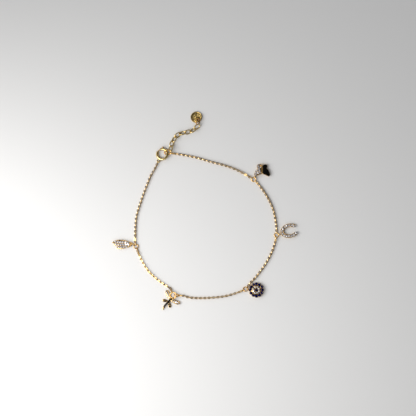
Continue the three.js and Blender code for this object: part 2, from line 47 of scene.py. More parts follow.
# Sizes are in millimetres and angles in degrees; mm turns a size into metres.
mm = 0.001
scene = bpy.context.scene


# ---- places on the bracelet

def onBearing(reach, degrees):
    return Vector((reach * math.cos(math.radians(degrees)), reach * math.sin(math.radians(degrees)), 0))


def nodeMiddle(node):
    low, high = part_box(node)
    return (low + high) / 2


# Charms, rings and routes are laid out from the middle of the clasp's side; the eye's centre stone
# says where that layout lies in the frame.
eyeCenter = Vector((20.28, -32.24, 0))
layoutShift = nodeMiddle("eye_stone_center") / mm - eyeCenter
layoutShift.z = 0

jumpRings = {
    "junction_ring": {"outer": 3.0, "wire": 0.4, "at": (-14.98, 22.91, 1.24), "bearing": 10.5, "lean": 52.7},
    "tag_ring": {"outer": 2.8, "wire": 0.38, "at": (-2.98, 35.59, 1.16), "bearing": 79.6, "lean": 55.2},
    "butterfly_ring": {"outer": 2.1, "wire": 0.36, "at": (19.52, 12.0, 0.56), "bearing": -37, "lean": 12},
    "horseshoe_ring": {"outer": 2.1, "wire": 0.36, "at": (28.48, -10.48, 0.56), "bearing": -90, "lean": 12},
    "eye_ring": {"outer": 2.1, "wire": 0.36, "at": (16.0, -31.88, 0.56), "bearing": 210, "lean": 12},
    "dragonfly_ring": {"outer": 2.8, "wire": 0.36, "at": (-12.54, -34.32, 0.74), "bearing": -73.4,
                       "lean": 19.1},
    "dragonfly_link_ring": {"outer": 2.16, "wire": 0.36, "at": (-11.37, -34.34, 0.91), "bearing": 162.7,
                            "lean": 53.9},
    "wing_ring": {"outer": 2.1, "wire": 0.36, "at": (-27.44, -14.96, 0.56), "bearing": 103, "lean": 12},
}
clasp = {
    "center": (-17.2, 22.2), "radius": 2.06, "tube": 0.98, "bore": 0.62, "lift": 0.5, "gapStart": 112,
    "gapEnd": 150, "eyeBearing": 241, "eyeOuter": 1.5, "eyeWire": 0.36, "eyeReach": 3.1,
    "slotStart": 34, "slotEnd": 92, "slotHeight": 0.3,
}
claspTilt = math.atan2(clasp["lift"], 2 * clasp["radius"])
claspPlace = (Matrix.Translation((*clasp["center"], clasp["tube"] / 2 + clasp["lift"] / 2))
              @ Matrix.Rotation(-claspTilt, 4, "Y"))
runningGap = 0.03  # between metal pieces that hang in each other


# The point of a leaning ring's centre line that is seen from above at this bearing, and its wire's direction.
def ringGrip(name, bearing):
    if name == "clasp_eye":
        reach = clasp["eyeReach"] + (clasp["eyeOuter"] - clasp["eyeWire"]) / 2
        turned = claspPlace.to_3x3()
        return claspPlace @ onBearing(reach, bearing), turned @ onBearing(1, bearing + 90)
    ring = jumpRings[name]
    radius = (ring["outer"] - ring["wire"]) / 2
    off, lean = math.radians(bearing - ring["bearing"]), math.radians(ring["lean"])
    turn = math.atan2(math.sin(off) / math.cos(lean), math.cos(off))
    along = onBearing(1, ring["bearing"])
    across = onBearing(math.cos(lean), ring["bearing"] + 90) + Vector((0, 0, math.sin(lean)))
    point = Vector(ring["at"]) + radius * (math.cos(turn) * along + math.sin(turn) * across)
    return point, math.cos(turn) * across - math.sin(turn) * along


# ---- mesh helpers

def linked(name, mesh):
    piece = bpy.data.objects.new(name, mesh)
    scene.collection.objects.link(piece)
    return piece


# A mesh in metres from a bmesh in layout millimetres.
def meshFrom(name, form, smooth=True):
    bmesh.ops.remove_doubles(form, verts=form.verts, dist=1e-4)
    bmesh.ops.recalc_face_normals(form, faces=form.faces)
    for face in form.faces:
        face.smooth = smooth
    mesh = bpy.data.meshes.new(name)
    form.to_mesh(mesh)
    form.free()
    mesh.transform(Matrix.Scale(mm, 4) @ Matrix.Translation(layoutShift))
    return mesh


def addBm(target, source, place=Matrix.Identity(4)):
    source.transform(place)
    carrier = bpy.data.meshes.new("carrier")
    source.to_mesh(carrier)
    source.free()
    target.from_mesh(carrier)
    bpy.data.meshes.remove(carrier)


# A tube of round section along points, open or closed on itself.
def tubeForm(points, radius, sides=10, closed=False, capped=True):
    form = bmesh.new()
    count = len(points)
    rows = []
    for i, point in enumerate(points):
        before = points[(i - 1) % count] if closed or i else point
        after = points[(i + 1) % count] if closed or i < count - 1 else point
        heading = (after - before).normalized()
        side = heading.cross(Vector((0, 0, 1)))
        side = side.normalized() if side.length > 0.05 else Vector((1, 0, 0))
        if rows and side.dot(lastSide) < 0:
            side = -side
        lastSide = side
        up = side.cross(heading)
        size = radius[i] if isinstance(radius, list) else radius
        rows.append([form.verts.new(point + size * (math.cos(a) * side + math.sin(a) * up))
                     for a in (2 * math.pi * k / sides for k in range(sides))])
    for i in range(count if closed else count - 1):
        here, there = rows[i], rows[(i + 1) % count]
        for k in range(sides):
            form.faces.new((here[k], here[(k + 1) % sides], there[(k + 1) % sides], there[k]))
    if capped and not closed:
        form.faces.new(rows[0])
        form.faces.new(rows[-1])
    return form


# A closed loop of wire in its own plane, its longer way along X.
def loopForm(length, width, wire, steps=40, sides=10):
    points = [Vector(((length - wire) / 2 * math.cos(a), (width - wire) / 2 * math.sin(a), 0))
              for a in (2 * math.pi * k / steps for k in range(steps))]
    form = bmesh.new()
    rows = []
    for k, point in enumerate(points):
        a = 2 * math.pi * k / steps
        out = Vector((math.cos(a) / (length - wire), math.sin(a) / (width - wire), 0)).normalized()
        rows.append([form.verts.new(point + wire / 2 * (math.cos(b) * out + math.sin(b) * Vector((0, 0, 1))))
                     for b in (2 * math.pi * j / sides for j in range(sides))])
    for k in range(steps):
        here, there = rows[k], rows[(k + 1) % steps]
        for j in range(sides):
            form.faces.new((here[j], here[(j + 1) % sides], there[(j + 1) % sides], there[j]))
    return form


def laid(position, heading, roll):
    turn = Euler((math.radians(roll), 0, math.radians(heading)), "XYZ")
    return Matrix.Translation(position) @ turn.to_matrix().to_4x4()


# A smooth line through points, closed or not, with the same number of steps in each span.
def throughPoints(points, perSpan, closed=False):
    points = [Vector(p).to_3d() for p in points]
    count = len(points)

    def pick(i):
        if closed:
            return points[i % count]
        if i < 0:
            return 2 * points[0] - points[1]
        return points[i] if i < count else 2 * points[-1] - points[-2]

    line = []
    for i in range(count if closed else count - 1):
        a, b, c, d = (pick(i + k) for k in (-1, 0, 1, 2))
        ta = 0.0
        tb = ta + math.sqrt((b - a).length)
        tc = tb + math.sqrt((c - b).length)
        td = tc + math.sqrt((d - c).length)
        for step in range(perSpan):
            t = tb + (tc - tb) * step / perSpan
            ab = a.lerp(b, (t - ta) / (tb - ta))
            bc = b.lerp(c, (t - tb) / (tc - tb))
            cd = c.lerp(d, (t - tc) / (td - tc))
            abc = ab.lerp(bc, (t - ta) / (tc - ta))
            bcd = bc.lerp(cd, (t - tb) / (td - tb))
            line.append(abc.lerp(bcd, (t - tb) / (tc - tb)))
    if not closed:
        line.append(points[-1])
    return line


def outlineThrough(points, perSpan=5):
    return [p.to_2d() for p in throughPoints([(x, y, 0) for x, y in points], perSpan, closed=True)]


# The same outline drawn in by a distance; outlines run counter-clockwise.
def drawnIn(outline, distance):
    count = len(outline)
    inner = []
    for i, point in enumerate(outline):
        along = (outline[(i + 1) % count] - outline[i - 1]).normalized()
        inner.append(point + distance * Vector((-along.y, along.x)))
    return inner


def mirrored(outline):
    return [Vector((-p.x, p.y)) for p in reversed(outline)]


def turnedTo(outline, place, degrees):
    turn = Matrix.Rotation(math.radians(degrees), 2)
    return [turn @ p + Vector(place) for p in outline]


# A plate from an outline, its upper edge rounded over.
def plateForm(outline, bottom, top, edge=0.06, segments=3):
    form = bmesh.new()
    base = form.faces.new([form.verts.new((p.x, p.y, bottom)) for p in outline])
    raised = bmesh.ops.extrude_face_region(form, geom=[base])
    upper = [v for v in raised["geom"] if isinstance(v, bmesh.types.BMVert)]
    for vert in upper:
        vert.co.z = top
    rim = [e for e in form.edges if all(v.co.z > top - 1e-6 for v in e.verts)]
    if edge:
        bmesh.ops.bevel(form, geom=rim, offset=edge, segments=segments, profile=0.5, affect="EDGES",
                        clamp_overlap=True)
    bmesh.ops.recalc_face_normals(form, faces=form.faces)
    return form


# A raised rim that runs round a plate, between its outline and the same outline drawn in.
def rimForm(outline, width, bottom, top, edge=0.03):
    form = bmesh.new()
    inner = drawnIn(outline, width)
    count = len(outline)
    rows = [[form.verts.new((p.x, p.y, z)) for p in line]
            for line, z in ((outline, bottom), (outline, top), (inner, top), (inner, bottom))]
    for i in range(count):
        j = (i + 1) % count
        for low, high in ((0, 1), (1, 2), (2, 3), (3, 0)):
            form.faces.new((rows[low][i], rows[low][j], rows[high][j], rows[high][i]))
    crest = [e for e in form.edges if all(v.co.z > top - 1e-6 for v in e.verts)
             and (e.verts[0] in rows[1]) == (e.verts[1] in rows[1])]
    bmesh.ops.bevel(form, geom=crest, offset=edge, segments=2, profile=0.5, affect="EDGES",
                    clamp_overlap=True)
    return form


# ---- node trees that grow repeated shapes

def newTree(name, inputs):
    tree = bpy.data.node_groups.new(name, "GeometryNodeTree")
    tree.interface.new_socket("Geometry", in_out="INPUT", socket_type="NodeSocketGeometry")
    for label, kind, value in inputs:
        socket = tree.interface.new_socket(label, in_out="INPUT", socket_type="NodeSocket" + kind)
        if value is not None:
            socket.default_value = value
    tree.interface.new_socket("Geometry", in_out="OUTPUT", socket_type="NodeSocketGeometry")
    return tree, tree.nodes.new("NodeGroupInput").outputs, tree.nodes.new("NodeGroupOutput").inputs[0]


# Adds a node and fills its inputs, each with a value or with another node's output.
def put(tree, kind, inputs=None, **settings):
    node = tree.nodes.new(kind)
    for key, value in settings.items():
        setattr(node, key, value)
    for key, source in (inputs or {}).items():
        if isinstance(source, bpy.types.Node):
            source = source.outputs[0]
        if isinstance(source, bpy.types.NodeSocket):
            tree.links.new(source, node.inputs[key])
        else:
            node.inputs[key].default_value = source
    return node


def calc(tree, operation, first, second=0.0, third=0.0):
    return put(tree, "ShaderNodeMath", {0: first, 1: second, 2: third}, operation=operation).outputs[0]


# Runs a tree on a seed object and returns what it grew as a plain mesh.
def grown(seedData, tree, values):
    seed = linked("seed", seedData)
    modifier = seed.modifiers.new("Grow", "NODES")
    modifier.node_group = tree
    for item in tree.interface.items_tree:
        if item.in_out == "INPUT" and item.name in values:
            modifier[item.identifier] = values[item.name]
    graph = bpy.context.evaluated_depsgraph_get()
    mesh = bpy.data.meshes.new_from_object(seed.evaluated_get(graph), preserve_all_data_layers=True,
                                           depsgraph=graph)
    seed.modifiers.remove(modifier)
    bpy.data.objects.remove(seed)
    return mesh


def endTree(tree, geometry, material, output, smooth=True):
    shaded = put(tree, "GeometryNodeSetShadeSmooth", {"Geometry": geometry, "Shade Smooth": smooth})
    realized = put(tree, "GeometryNodeRealizeInstances", {"Geometry": shaded})
    done = put(tree, "GeometryNodeSetMaterial", {"Geometry": realized, "Material": material})
    tree.links.new(done.outputs[0], output)


# One oval link, its length along Z and its width along X: its sides are hammered broad and its ends
# stay thin.
def linkNodes(tree, given, steps, sides):
    sheet = put(tree, "GeometryNodeMeshGrid", {
        "Size X": 2 * math.pi, "Size Y": 2 * math.pi, "Vertices X": steps + 1, "Vertices Y": sides + 1})
    place = put(tree, "ShaderNodeSeparateXYZ", {0: put(tree, "GeometryNodeInputPosition")})
    around, across = place.outputs["X"], place.outputs["Y"]
    sine, cosine = calc(tree, "SINE", around), calc(tree, "COSINE", around)
    broader = calc(tree, "SUBTRACT", given["Side Wire"], given["End Wire"])
    wire = calc(tree, "MULTIPLY_ADD", calc(tree, "MULTIPLY", sine, sine), broader, given["End Wire"])
    squared = put(tree, "ShaderNodeClamp", {0: calc(tree, "MULTIPLY", calc(tree, "COSINE", across), 1.4),
                                            1: -1.0})
    reach = calc(tree, "MULTIPLY", calc(tree, "MULTIPLY", wire, 0.5), squared.outputs[0])
    halfLength = calc(tree, "MULTIPLY", calc(tree, "SUBTRACT", given["Link Length"], given["End Wire"]), 0.5)
    halfWidth = calc(tree, "MULTIPLY", calc(tree, "SUBTRACT", given["Link Width"], given["Side Wire"]), 0.5)
    flattened = put(tree, "ShaderNodeClamp", {0: calc(tree, "MULTIPLY", calc(tree, "SINE", across), 1.2),
                                              1: -1.0})
    bent = put(tree, "ShaderNodeCombineXYZ", {
        0: calc(tree, "MULTIPLY", calc(tree, "ADD", halfWidth, reach), sine),
        1: calc(tree, "MULTIPLY", calc(tree, "MULTIPLY", given["Thickness"], 0.5), flattened.outputs[0]),
        2: calc(tree, "MULTIPLY", calc(tree, "ADD", halfLength, reach), cosine)})
    link = put(tree, "GeometryNodeSetPosition", {"Geometry": sheet, "Position": bent})
    return put(tree, "GeometryNodeMergeByDistance", {"Geometry": link, "Distance": 0.001 * mm})


# A cable chain along a curve: links at equal steps, each a quarter turn on from the one before. The
# stretch lies at its own roll and may twist slowly to its far end, and its first and last few links
# turn over to hang in their rings.
def makeChainTree():
    tree, given, output = newTree("cableChain", [
        ("Link Length", "Float", 1.3), ("Link Width", "Float", 1.0), ("Side Wire", "Float", 0.34),
        ("End Wire", "Float", 0.2), ("Thickness", "Float", 0.2), ("Links", "Int", 20), ("Lie", "Float", 0.0),
        ("Twist", "Float", 0.0), ("First Turn", "Float", 0.0), ("Last Turn", "Float", 0.0),
        ("Turned Links", "Float", 5.0),
        ("Metal", "Material", None)])
    upright = put(tree, "GeometryNodeSetCurveNormal", {"Curve": given["Geometry"]}, mode="Z_UP")
    places = put(tree, "GeometryNodeCurveToPoints", {"Curve": upright, "Count": given["Links"]}, mode="COUNT")
    order = put(tree, "GeometryNodeInputIndex").outputs[0]
    fromLast = calc(tree, "SUBTRACT", calc(tree, "SUBTRACT", given["Links"], 1.0), order)
    share = calc(tree, "DIVIDE", order, given["Links"])
    lie = calc(tree, "MULTIPLY_ADD", share, given["Twist"], given["Lie"])
    roll = calc(tree, "MULTIPLY_ADD", order, math.pi / 2, lie)
    for away, turn in ((order, "First Turn"), (fromLast, "Last Turn")):
        fade = put(tree, "ShaderNodeMapRange", {
            "Value": away, "From Max": given["Turned Links"], "To Min": 1.0, "To Max": 0.0},
            interpolation_type="SMOOTHSTEP")
        roll = calc(tree, "MULTIPLY_ADD", fade.outputs[0], given[turn], roll)
    spin = put(tree, "FunctionNodeAxisAngleToRotation", {"Axis": (0, 0, 1), "Angle": roll})
    facing = put(tree, "FunctionNodeRotateRotation",
                 {"Rotation": places.outputs["Rotation"], "Rotate By": spin}, rotation_space="LOCAL")
    chain = put(tree, "GeometryNodeInstanceOnPoints", {
        "Points": places.outputs["Points"], "Instance": linkNodes(tree, given, 12, 6), "Rotation": facing})
    endTree(tree, chain, given["Metal"], output, smooth=False)
    return tree


# Loops of wire on points that carry their own turn; a loop with an opening is a cut jump ring.
def makeLoopTree():
    tree, given, output = newTree("wireLoops", [
        ("Length", "Float", 2.1), ("Width", "Float", 2.1), ("Wire", "Float", 0.36), ("Opening", "Float", 0.0),
        ("Steps", "Int", 36), ("Sides", "Int", 12), ("Metal", "Material", None)])
    sweep = calc(tree, "SUBTRACT", 2 * math.pi, given["Opening"])
    arc = put(tree, "GeometryNodeCurveArc", {"Resolution": given["Steps"], "Radius": 1.0,
                                             "Sweep Angle": sweep})
    circle = put(tree, "GeometryNodeCurvePrimitiveCircle", {"Resolution": given["Steps"], "Radius": 1.0})
    isCut = put(tree, "FunctionNodeCompare", {0: given["Opening"], 1: 1e-4}, operation="GREATER_THAN")
    path = put(tree, "GeometryNodeSwitch", {"Switch": isCut, "False": circle, "True": arc},
               input_type="GEOMETRY")
    halves = [calc(tree, "MULTIPLY", calc(tree, "SUBTRACT", given[key], given["Wire"]), 0.5)
              for key in ("Length", "Width")]
    stretch = put(tree, "ShaderNodeCombineXYZ", {0: halves[0], 1: halves[1], 2: 1.0})
    oval = put(tree, "GeometryNodeTransform", {"Geometry": path, "Scale": stretch})
    section = put(tree, "GeometryNodeCurvePrimitiveCircle",
                  {"Resolution": given["Sides"], "Radius": calc(tree, "MULTIPLY", given["Wire"], 0.5)})
    loop = put(tree, "GeometryNodeCurveToMesh", {"Curve": oval, "Profile Curve": section, "Fill Caps": True})
    turn = put(tree, "GeometryNodeInputNamedAttribute", {"Name": "turn"}, data_type="FLOAT_VECTOR")
    facing = put(tree, "FunctionNodeEulerToRotation", {"Euler": turn})
    loops = put(tree, "GeometryNodeInstanceOnPoints",
                {"Points": given["Geometry"], "Instance": loop, "Rotation": facing})
    endTree(tree, loops, given["Metal"], output)
    return tree


# Round cut stones on points that carry their radius: a table, two rows of eight facets and a pavilion.
def makeStoneTree():
    tree, given, output = newTree("cutStones", [
        ("Facets", "Int", 8), ("Table", "Float", 0.56), ("Crown", "Float", 0.34), ("Depth", "Float", 0.6),
        ("Tilt", "Float", 0.3), ("Seed", "Int", 4), ("Stone", "Material", None)])
    shoulder = 0.84
    lowCrown = calc(tree, "MULTIPLY", given["Crown"], 0.55)
    highCrown = calc(tree, "MULTIPLY", given["Crown"], 0.45)
    tiers = [
        (1.0, shoulder, lowCrown, 0.0),
        (shoulder, given["Table"], highCrown, lowCrown),
        (0.0, 1.0, given["Depth"], calc(tree, "MULTIPLY", given["Depth"], -1.0)),
    ]
    parts = []
    for low, high, height, start in tiers:
        cone = put(tree, "GeometryNodeMeshCone", {
            "Vertices": given["Facets"], "Radius Bottom": low, "Radius Top": high, "Depth": height},
            fill_type="NONE")
        move = put(tree, "ShaderNodeCombineXYZ", {2: start})
        parts.append(put(tree, "GeometryNodeTransform", {"Geometry": cone.outputs["Mesh"],
                                                         "Translation": move}))
    lid = put(tree, "GeometryNodeMeshCircle", {"Vertices": given["Facets"], "Radius": given["Table"]},
              fill_type="NGON")
    lidHeight = put(tree, "ShaderNodeCombineXYZ", {2: given["Crown"]})
    parts.append(put(tree, "GeometryNodeTransform", {"Geometry": lid, "Translation": lidHeight}))
    joined = put(tree, "GeometryNodeJoinGeometry")
    for part in parts:
        tree.links.new(part.outputs[0], joined.inputs[0])
    closed = put(tree, "GeometryNodeMergeByDistance", {"Geometry": joined, "Distance": 0.001})
    size = put(tree, "GeometryNodeInputNamedAttribute", {"Name": "stoneRadius"}, data_type="FLOAT")
    lean = calc(tree, "MULTIPLY", given["Tilt"], -1.0)
    low = put(tree, "ShaderNodeCombineXYZ", {0: lean, 1: lean, 2: 0.0})
    high = put(tree, "ShaderNodeCombineXYZ", {0: given["Tilt"], 1: given["Tilt"], 2: math.pi})
    setting = put(tree, "FunctionNodeRandomValue", {"Min": low, "Max": high, "Seed": given["Seed"]},
                  data_type="FLOAT_VECTOR")
    facing = put(tree, "FunctionNodeEulerToRotation", {"Euler": setting})
    stones = put(tree, "GeometryNodeInstanceOnPoints", {
        "Points": given["Geometry"], "Instance": closed, "Rotation": facing, "Scale": size})
    endTree(tree, stones, given["Stone"], output, smooth=False)
    return tree


# Prong beads round each stone, on a circle just outside its girdle.
def makeBeadTree():
    tree, given, output = newTree("prongBeads", [
        ("Beads", "Int", 4), ("Reach", "Float", 1.0), ("Bead Size", "Float", 0.2), ("Rise", "Float", 0.1),
        ("First", "Float", 0.785), ("Metal", "Material", None)])
    size = put(tree, "GeometryNodeInputNamedAttribute", {"Name": "stoneRadius"}, data_type="FLOAT")
    circle = put(tree, "GeometryNodeMeshCircle", {"Vertices": given["Beads"], "Radius": given["Reach"]})
    lift = put(tree, "ShaderNodeCombineXYZ", {2: given["Rise"]})
    spin = put(tree, "ShaderNodeCombineXYZ", {2: given["First"]})
    corners = put(tree, "GeometryNodeTransform", {"Geometry": circle, "Translation": lift, "Rotation": spin})
    bead = put(tree, "GeometryNodeMeshUVSphere", {"Segments": 8, "Rings": 5, "Radius": given["Bead Size"]})
    ring = put(tree, "GeometryNodeInstanceOnPoints", {"Points": corners, "Instance": bead.outputs["Mesh"]})
    beads = put(tree, "GeometryNodeInstanceOnPoints",
                {"Points": given["Geometry"], "Instance": ring, "Scale": size})
    endTree(tree, beads, given["Metal"], output)
    return tree


chainTree, loopTree, stoneTree, beadTree = makeChainTree(), makeLoopTree(), makeStoneTree(), makeBeadTree()


# Points with attributes, as a seed for a tree.
def seedPoints(points, **attributes):
    mesh = bpy.data.meshes.new("seed")
    mesh.from_pydata([(Vector(p) + layoutShift) * mm for p in points], [], [])
    for name, values in attributes.items():
        isVector = isinstance(values[0], (tuple, list))
        layer = mesh.attributes.new(name, "FLOAT_VECTOR" if isVector else "FLOAT", "POINT")
        flat = [x for v in values for x in v] if isVector else values
        layer.data.foreach_set("vector" if isVector else "value", flat)
    return mesh


def seedCurve(points):
    curve = bpy.data.curves.new("seed", "CURVE")
    curve.dimensions = "3D"
    spline = curve.splines.new("POLY")
    spline.points.add(len(points) - 1)
    for slot, point in zip(spline.points, points):
        slot.co = (*((point + layoutShift) * mm), 1)
    return curve


print("bracelet: trees built")


# ---- finishes

def nodesOf(name):
    material = bpy.data.materials.new(name)
    material.use_nodes = True
    nodes = material.node_tree.nodes
    return material, nodes, material.node_tree.links, nodes["Principled BSDF"]


# Polished plate: a warm metal whose colour and polish vary a little, with fine wear marks; where the second
# colour is far darker, as on the tag, that variation paints dark reflections into the metal.
def goldFinish(name, color, deep, roughness, grain=1400, wear=0.12):
    material, nodes, links, shader = nodesOf(name)
    place = nodes.new("ShaderNodeTexCoord")
    toneDriftAndPaintedReflection = nodes.new("ShaderNodeTexNoise")
    toneDriftAndPaintedReflection.inputs["Scale"].default_value = 320
    toneDriftAndPaintedReflection.inputs["Detail"].default_value = 3
    tint = nodes.new("ShaderNodeValToRGB")
    tint.color_ramp.elements[0].position, tint.color_ramp.elements[1].position = 0.3, 0.7
    tint.color_ramp.elements[0].color = (*deep, 1)
    tint.color_ramp.elements[1].color = (*color, 1)
    marks = nodes.new("ShaderNodeTexNoise")
    marks.inputs["Scale"].default_value = grain
    marks.inputs["Detail"].default_value = 6
    marks.inputs["Roughness"].default_value = 0.7
    polish = nodes.new("ShaderNodeMapRange")
    polish.inputs["To Min"].default_value = roughness * 0.75
    polish.inputs["To Max"].default_value = roughness * 1.35
    relief = nodes.new("ShaderNodeBump")
    relief.inputs["Strength"].default_value = wear
    relief.inputs["Distance"].default_value = 0.02 * mm
    for source in (toneDriftAndPaintedReflection, marks):
        links.new(place.outputs["Object"], source.inputs["Vector"])
    links.new(toneDriftAndPaintedReflection.outputs["Fac"], tint.inputs["Fac"])
    links.new(tint.outputs["Color"], shader.inputs["Base Color"])
    links.new(marks.outputs["Fac"], polish.inputs["Value"])
    links.new(polish.outputs["Result"], shader.inputs["Roughness"])
    links.new(marks.outputs["Fac"], relief.inputs["Height"])
    links.new(relief.outputs["Normal"], shader.inputs["Normal"])
    shader.inputs["Metallic"].default_value = 1
    shader.inputs["Specular Tint"].default_value = (0.2, 0.13, 0.07, 1)  # darker where it turns away
    return material


# Stones: facets that mirror the room, with painted reflections in their colour: a fine pattern of dark and
# pale spots.
def stoneFinish(name, color, deep, metallic, ior, shine=0.5):
    material, nodes, links, shader = nodesOf(name)
    place = nodes.new("ShaderNodeTexCoord")
    # painted reflections: dark spots fading to pale edges, standing in for the room seen in the facets
    paintedFacetReflections = nodes.new("ShaderNodeTexVoronoi")
    paintedFacetReflections.inputs["Scale"].default_value = 2600
    tint = nodes.new("ShaderNodeValToRGB")
    tint.color_ramp.elements[0].position, tint.color_ramp.elements[1].position = 0.15, 0.75
    tint.color_ramp.elements[0].color = (*deep, 1)
    tint.color_ramp.elements[1].color = (*color, 1)
    links.new(place.outputs["Object"], paintedFacetReflections.inputs["Vector"])
    links.new(paintedFacetReflections.outputs["Distance"], tint.inputs["Fac"])
    links.new(tint.outputs["Color"], shader.inputs["Base Color"])
    shader.inputs["Metallic"].default_value = metallic
    shader.inputs["Roughness"].default_value = 0.04
    shader.inputs["Specular IOR Level"].default_value = shine
    shader.inputs["IOR"].default_value = ior
    return material


# Glossy black enamel, filled by hand: a slow wave in its surface.
def enamelFinish(name, color, deep):
    material, nodes, links, shader = nodesOf(name)
    place = nodes.new("ShaderNodeTexCoord")
    wave = nodes.new("ShaderNodeTexNoise")
    wave.inputs["Scale"].default_value = 700
    wave.inputs["Detail"].default_value = 2
    tint = nodes.new("ShaderNodeValToRGB")
    tint.color_ramp.elements[0].color = (*deep, 1)
    tint.color_ramp.elements[1].color = (*color, 1)
    relief = nodes.new("ShaderNodeBump")
    relief.inputs["Strength"].default_value = 0.25
    relief.inputs["Distance"].default_value = 0.04 * mm
    links.new(place.outputs["Object"], wave.inputs["Vector"])
    links.new(wave.outputs["Fac"], tint.inputs["Fac"])
    links.new(tint.outputs["Color"], shader.inputs["Base Color"])
    links.new(wave.outputs["Fac"], relief.inputs["Height"])
    links.new(relief.outputs["Normal"], shader.inputs["Normal"])
    shader.inputs["Roughness"].default_value = 0.16
    shader.inputs["Specular IOR Level"].default_value = 0.12
    shader.inputs["Coat Weight"].default_value = 0.08
    shader.inputs["Coat Roughness"].default_value = 0.05
    return material


chainGold = goldFinish("chainGold", (0.90, 0.63, 0.28), (0.77, 0.51, 0.20), 0.10)
claspGold = goldFinish("claspGold", (0.78, 0.61, 0.31), (0.58, 0.43, 0.17), 0.10)
ringGold = goldFinish("ringGold", (0.88, 0.56, 0.18), (0.74, 0.42, 0.11), 0.14)
settingGold = goldFinish("settingGold", (0.88, 0.62, 0.28), (0.74, 0.48, 0.18), 0.16)
paleGold = goldFinish("paleGold", (0.90, 0.74, 0.48), (0.80, 0.60, 0.34), 0.22)
# The tag's near-brown second colour is painted reflection: large dark patches that stand in for the dim room
# mirrored in its hammered face.
tagGold = goldFinish("tagGold", (0.86, 0.62, 0.23), (0.34, 0.22, 0.07), 0.24, grain=1000, wear=1.0)
clearStone = stoneFinish("clearStone", (0.96, 0.94, 0.95), (0.24, 0.21, 0.23), 0.55, 2.2)
navyStone = stoneFinish("navyStone", (0.003, 0.005, 0.07), (0.001, 0.0015, 0.018), 0.0, 1.45, shine=0.06)
blackEnamel = enamelFinish("blackEnamel", (0.006, 0.0055, 0.005), (0.002, 0.002, 0.002))
print("bracelet: finishes mixed")


def finishPiece(piece, body, replaced, material=None):
    if material is not None:
        piece.data.materials.clear()
        piece.data.materials.append(material)
    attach(piece, body)
    if replaced:
        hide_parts(*replaced)
    return piece


# ---- chain

chain = {"linkLength": 1.17, "linkWidth": 0.98, "sideWire": 0.38, "endWire": 0.14, "thickness": 0.24,
         "pitch": 0.875, "hookLength": 1.4, "hookWire": 0.24, "turnedLinks": 3}
stretches = [
    {"from": "junction_ring", "fromBearing": -12.4, "to": "butterfly_ring", "toBearing": 152, "lie": -4,
     "twist": 20,
     "route": [(-12.0, 22.4), (-8.4, 21.84), (-3.4, 20.8), (1.6, 19.32), (6.0, 18.16), (9.2, 17.2),
               (12.8, 15.76), (16.0, 14.06), (17.6, 13.06)]},
    {"from": "butterfly_ring", "fromBearing": -47, "to": "horseshoe_ring", "toBearing": 92, "lie": 0,
     "route": [(21.2, 10.2), (23.0, 7.8), (24.8, 5.04), (26.2, 2.28), (27.12, 0), (27.8, -2.8), (28.28, -6.0),
               (28.48, -8.2)]},
    {"from": "horseshoe_ring", "fromBearing": -98, "to": "eye_ring", "toBearing": 46, "lie": 0,
     "route": [(28.0, -12.7), (27.12, -15.6), (25.76, -18.8), (23.92, -22.0), (21.6, -25.28), (19.6, -27.7),
               (17.85, -29.5)]},
    {"from": "eye_ring", "fromBearing": 204, "to": "dragonfly_link_ring", "toBearing": 0, "lie": 0,
     "route": [(13.6, -32.96), (11.52, -33.68), (8.28, -34.6), (3.6, -35.2), (-2.0, -35.44), (-6.2, -35.2),
               (-8.6, -34.5)]},
    {"from": "dragonfly_ring", "fromBearing": 112, "to": "wing_ring", "toBearing": -72, "lie": -14,
     "twist": -20,
     "route": [(-13.7, -31.7), (-15.4, -30.6), (-17.8, -29.0), (-20.8, -26.48), (-23.2, -23.84),
               (-25.2, -20.52), (-26.4, -17.8)]},
    {"from": "wing_ring", "fromBearing": 105, "to": "clasp_eye", "toBearing": 241, "lie": 0,
     "route": [(-27.86, -12.6), (-27.8, -10.4), (-27.76, -7.6), (-27.6, -4.6), (-27.08, -1.6), (-26.12, 1.6),
               (-25.12, 4.68), (-24.0, 7.8), (-22.88, 10.72), (-22.0, 13.0), (-20.6, 15.6), (-19.6, 17.5)]},
]


# Where a hooked link lies, and its roll about the way it heads: it stands square to the ring's wire.
def hookedLink(name, bearing, toward):
    point, wireDirection = ringGrip(name, bearing)
    wireRadius = (clasp["eyeWire"] if name == "clasp_eye" else jumpRings[name]["wire"]) / 2
    slack = chain["hookLength"] / 2 - chain["hookWire"] - wireRadius - 2 * runningGap
    away = Vector((toward[0] - point.x, toward[1] - point.y, 0)).normalized()
    center = point + slack * away
    center.z = max(center.z, chain["linkWidth"] / 2)
    side = wireDirection.copy()
    side.rotate(Euler((0, 0, -math.atan2(away.y, away.x))))
    return center, math.atan2(-side.y, side.z)


# A link looks the same after half a turn, so a turn never needs to be more than a quarter either way.
def halfTurns(angle):
    return (angle + math.pi / 2) % math.pi - math.pi / 2


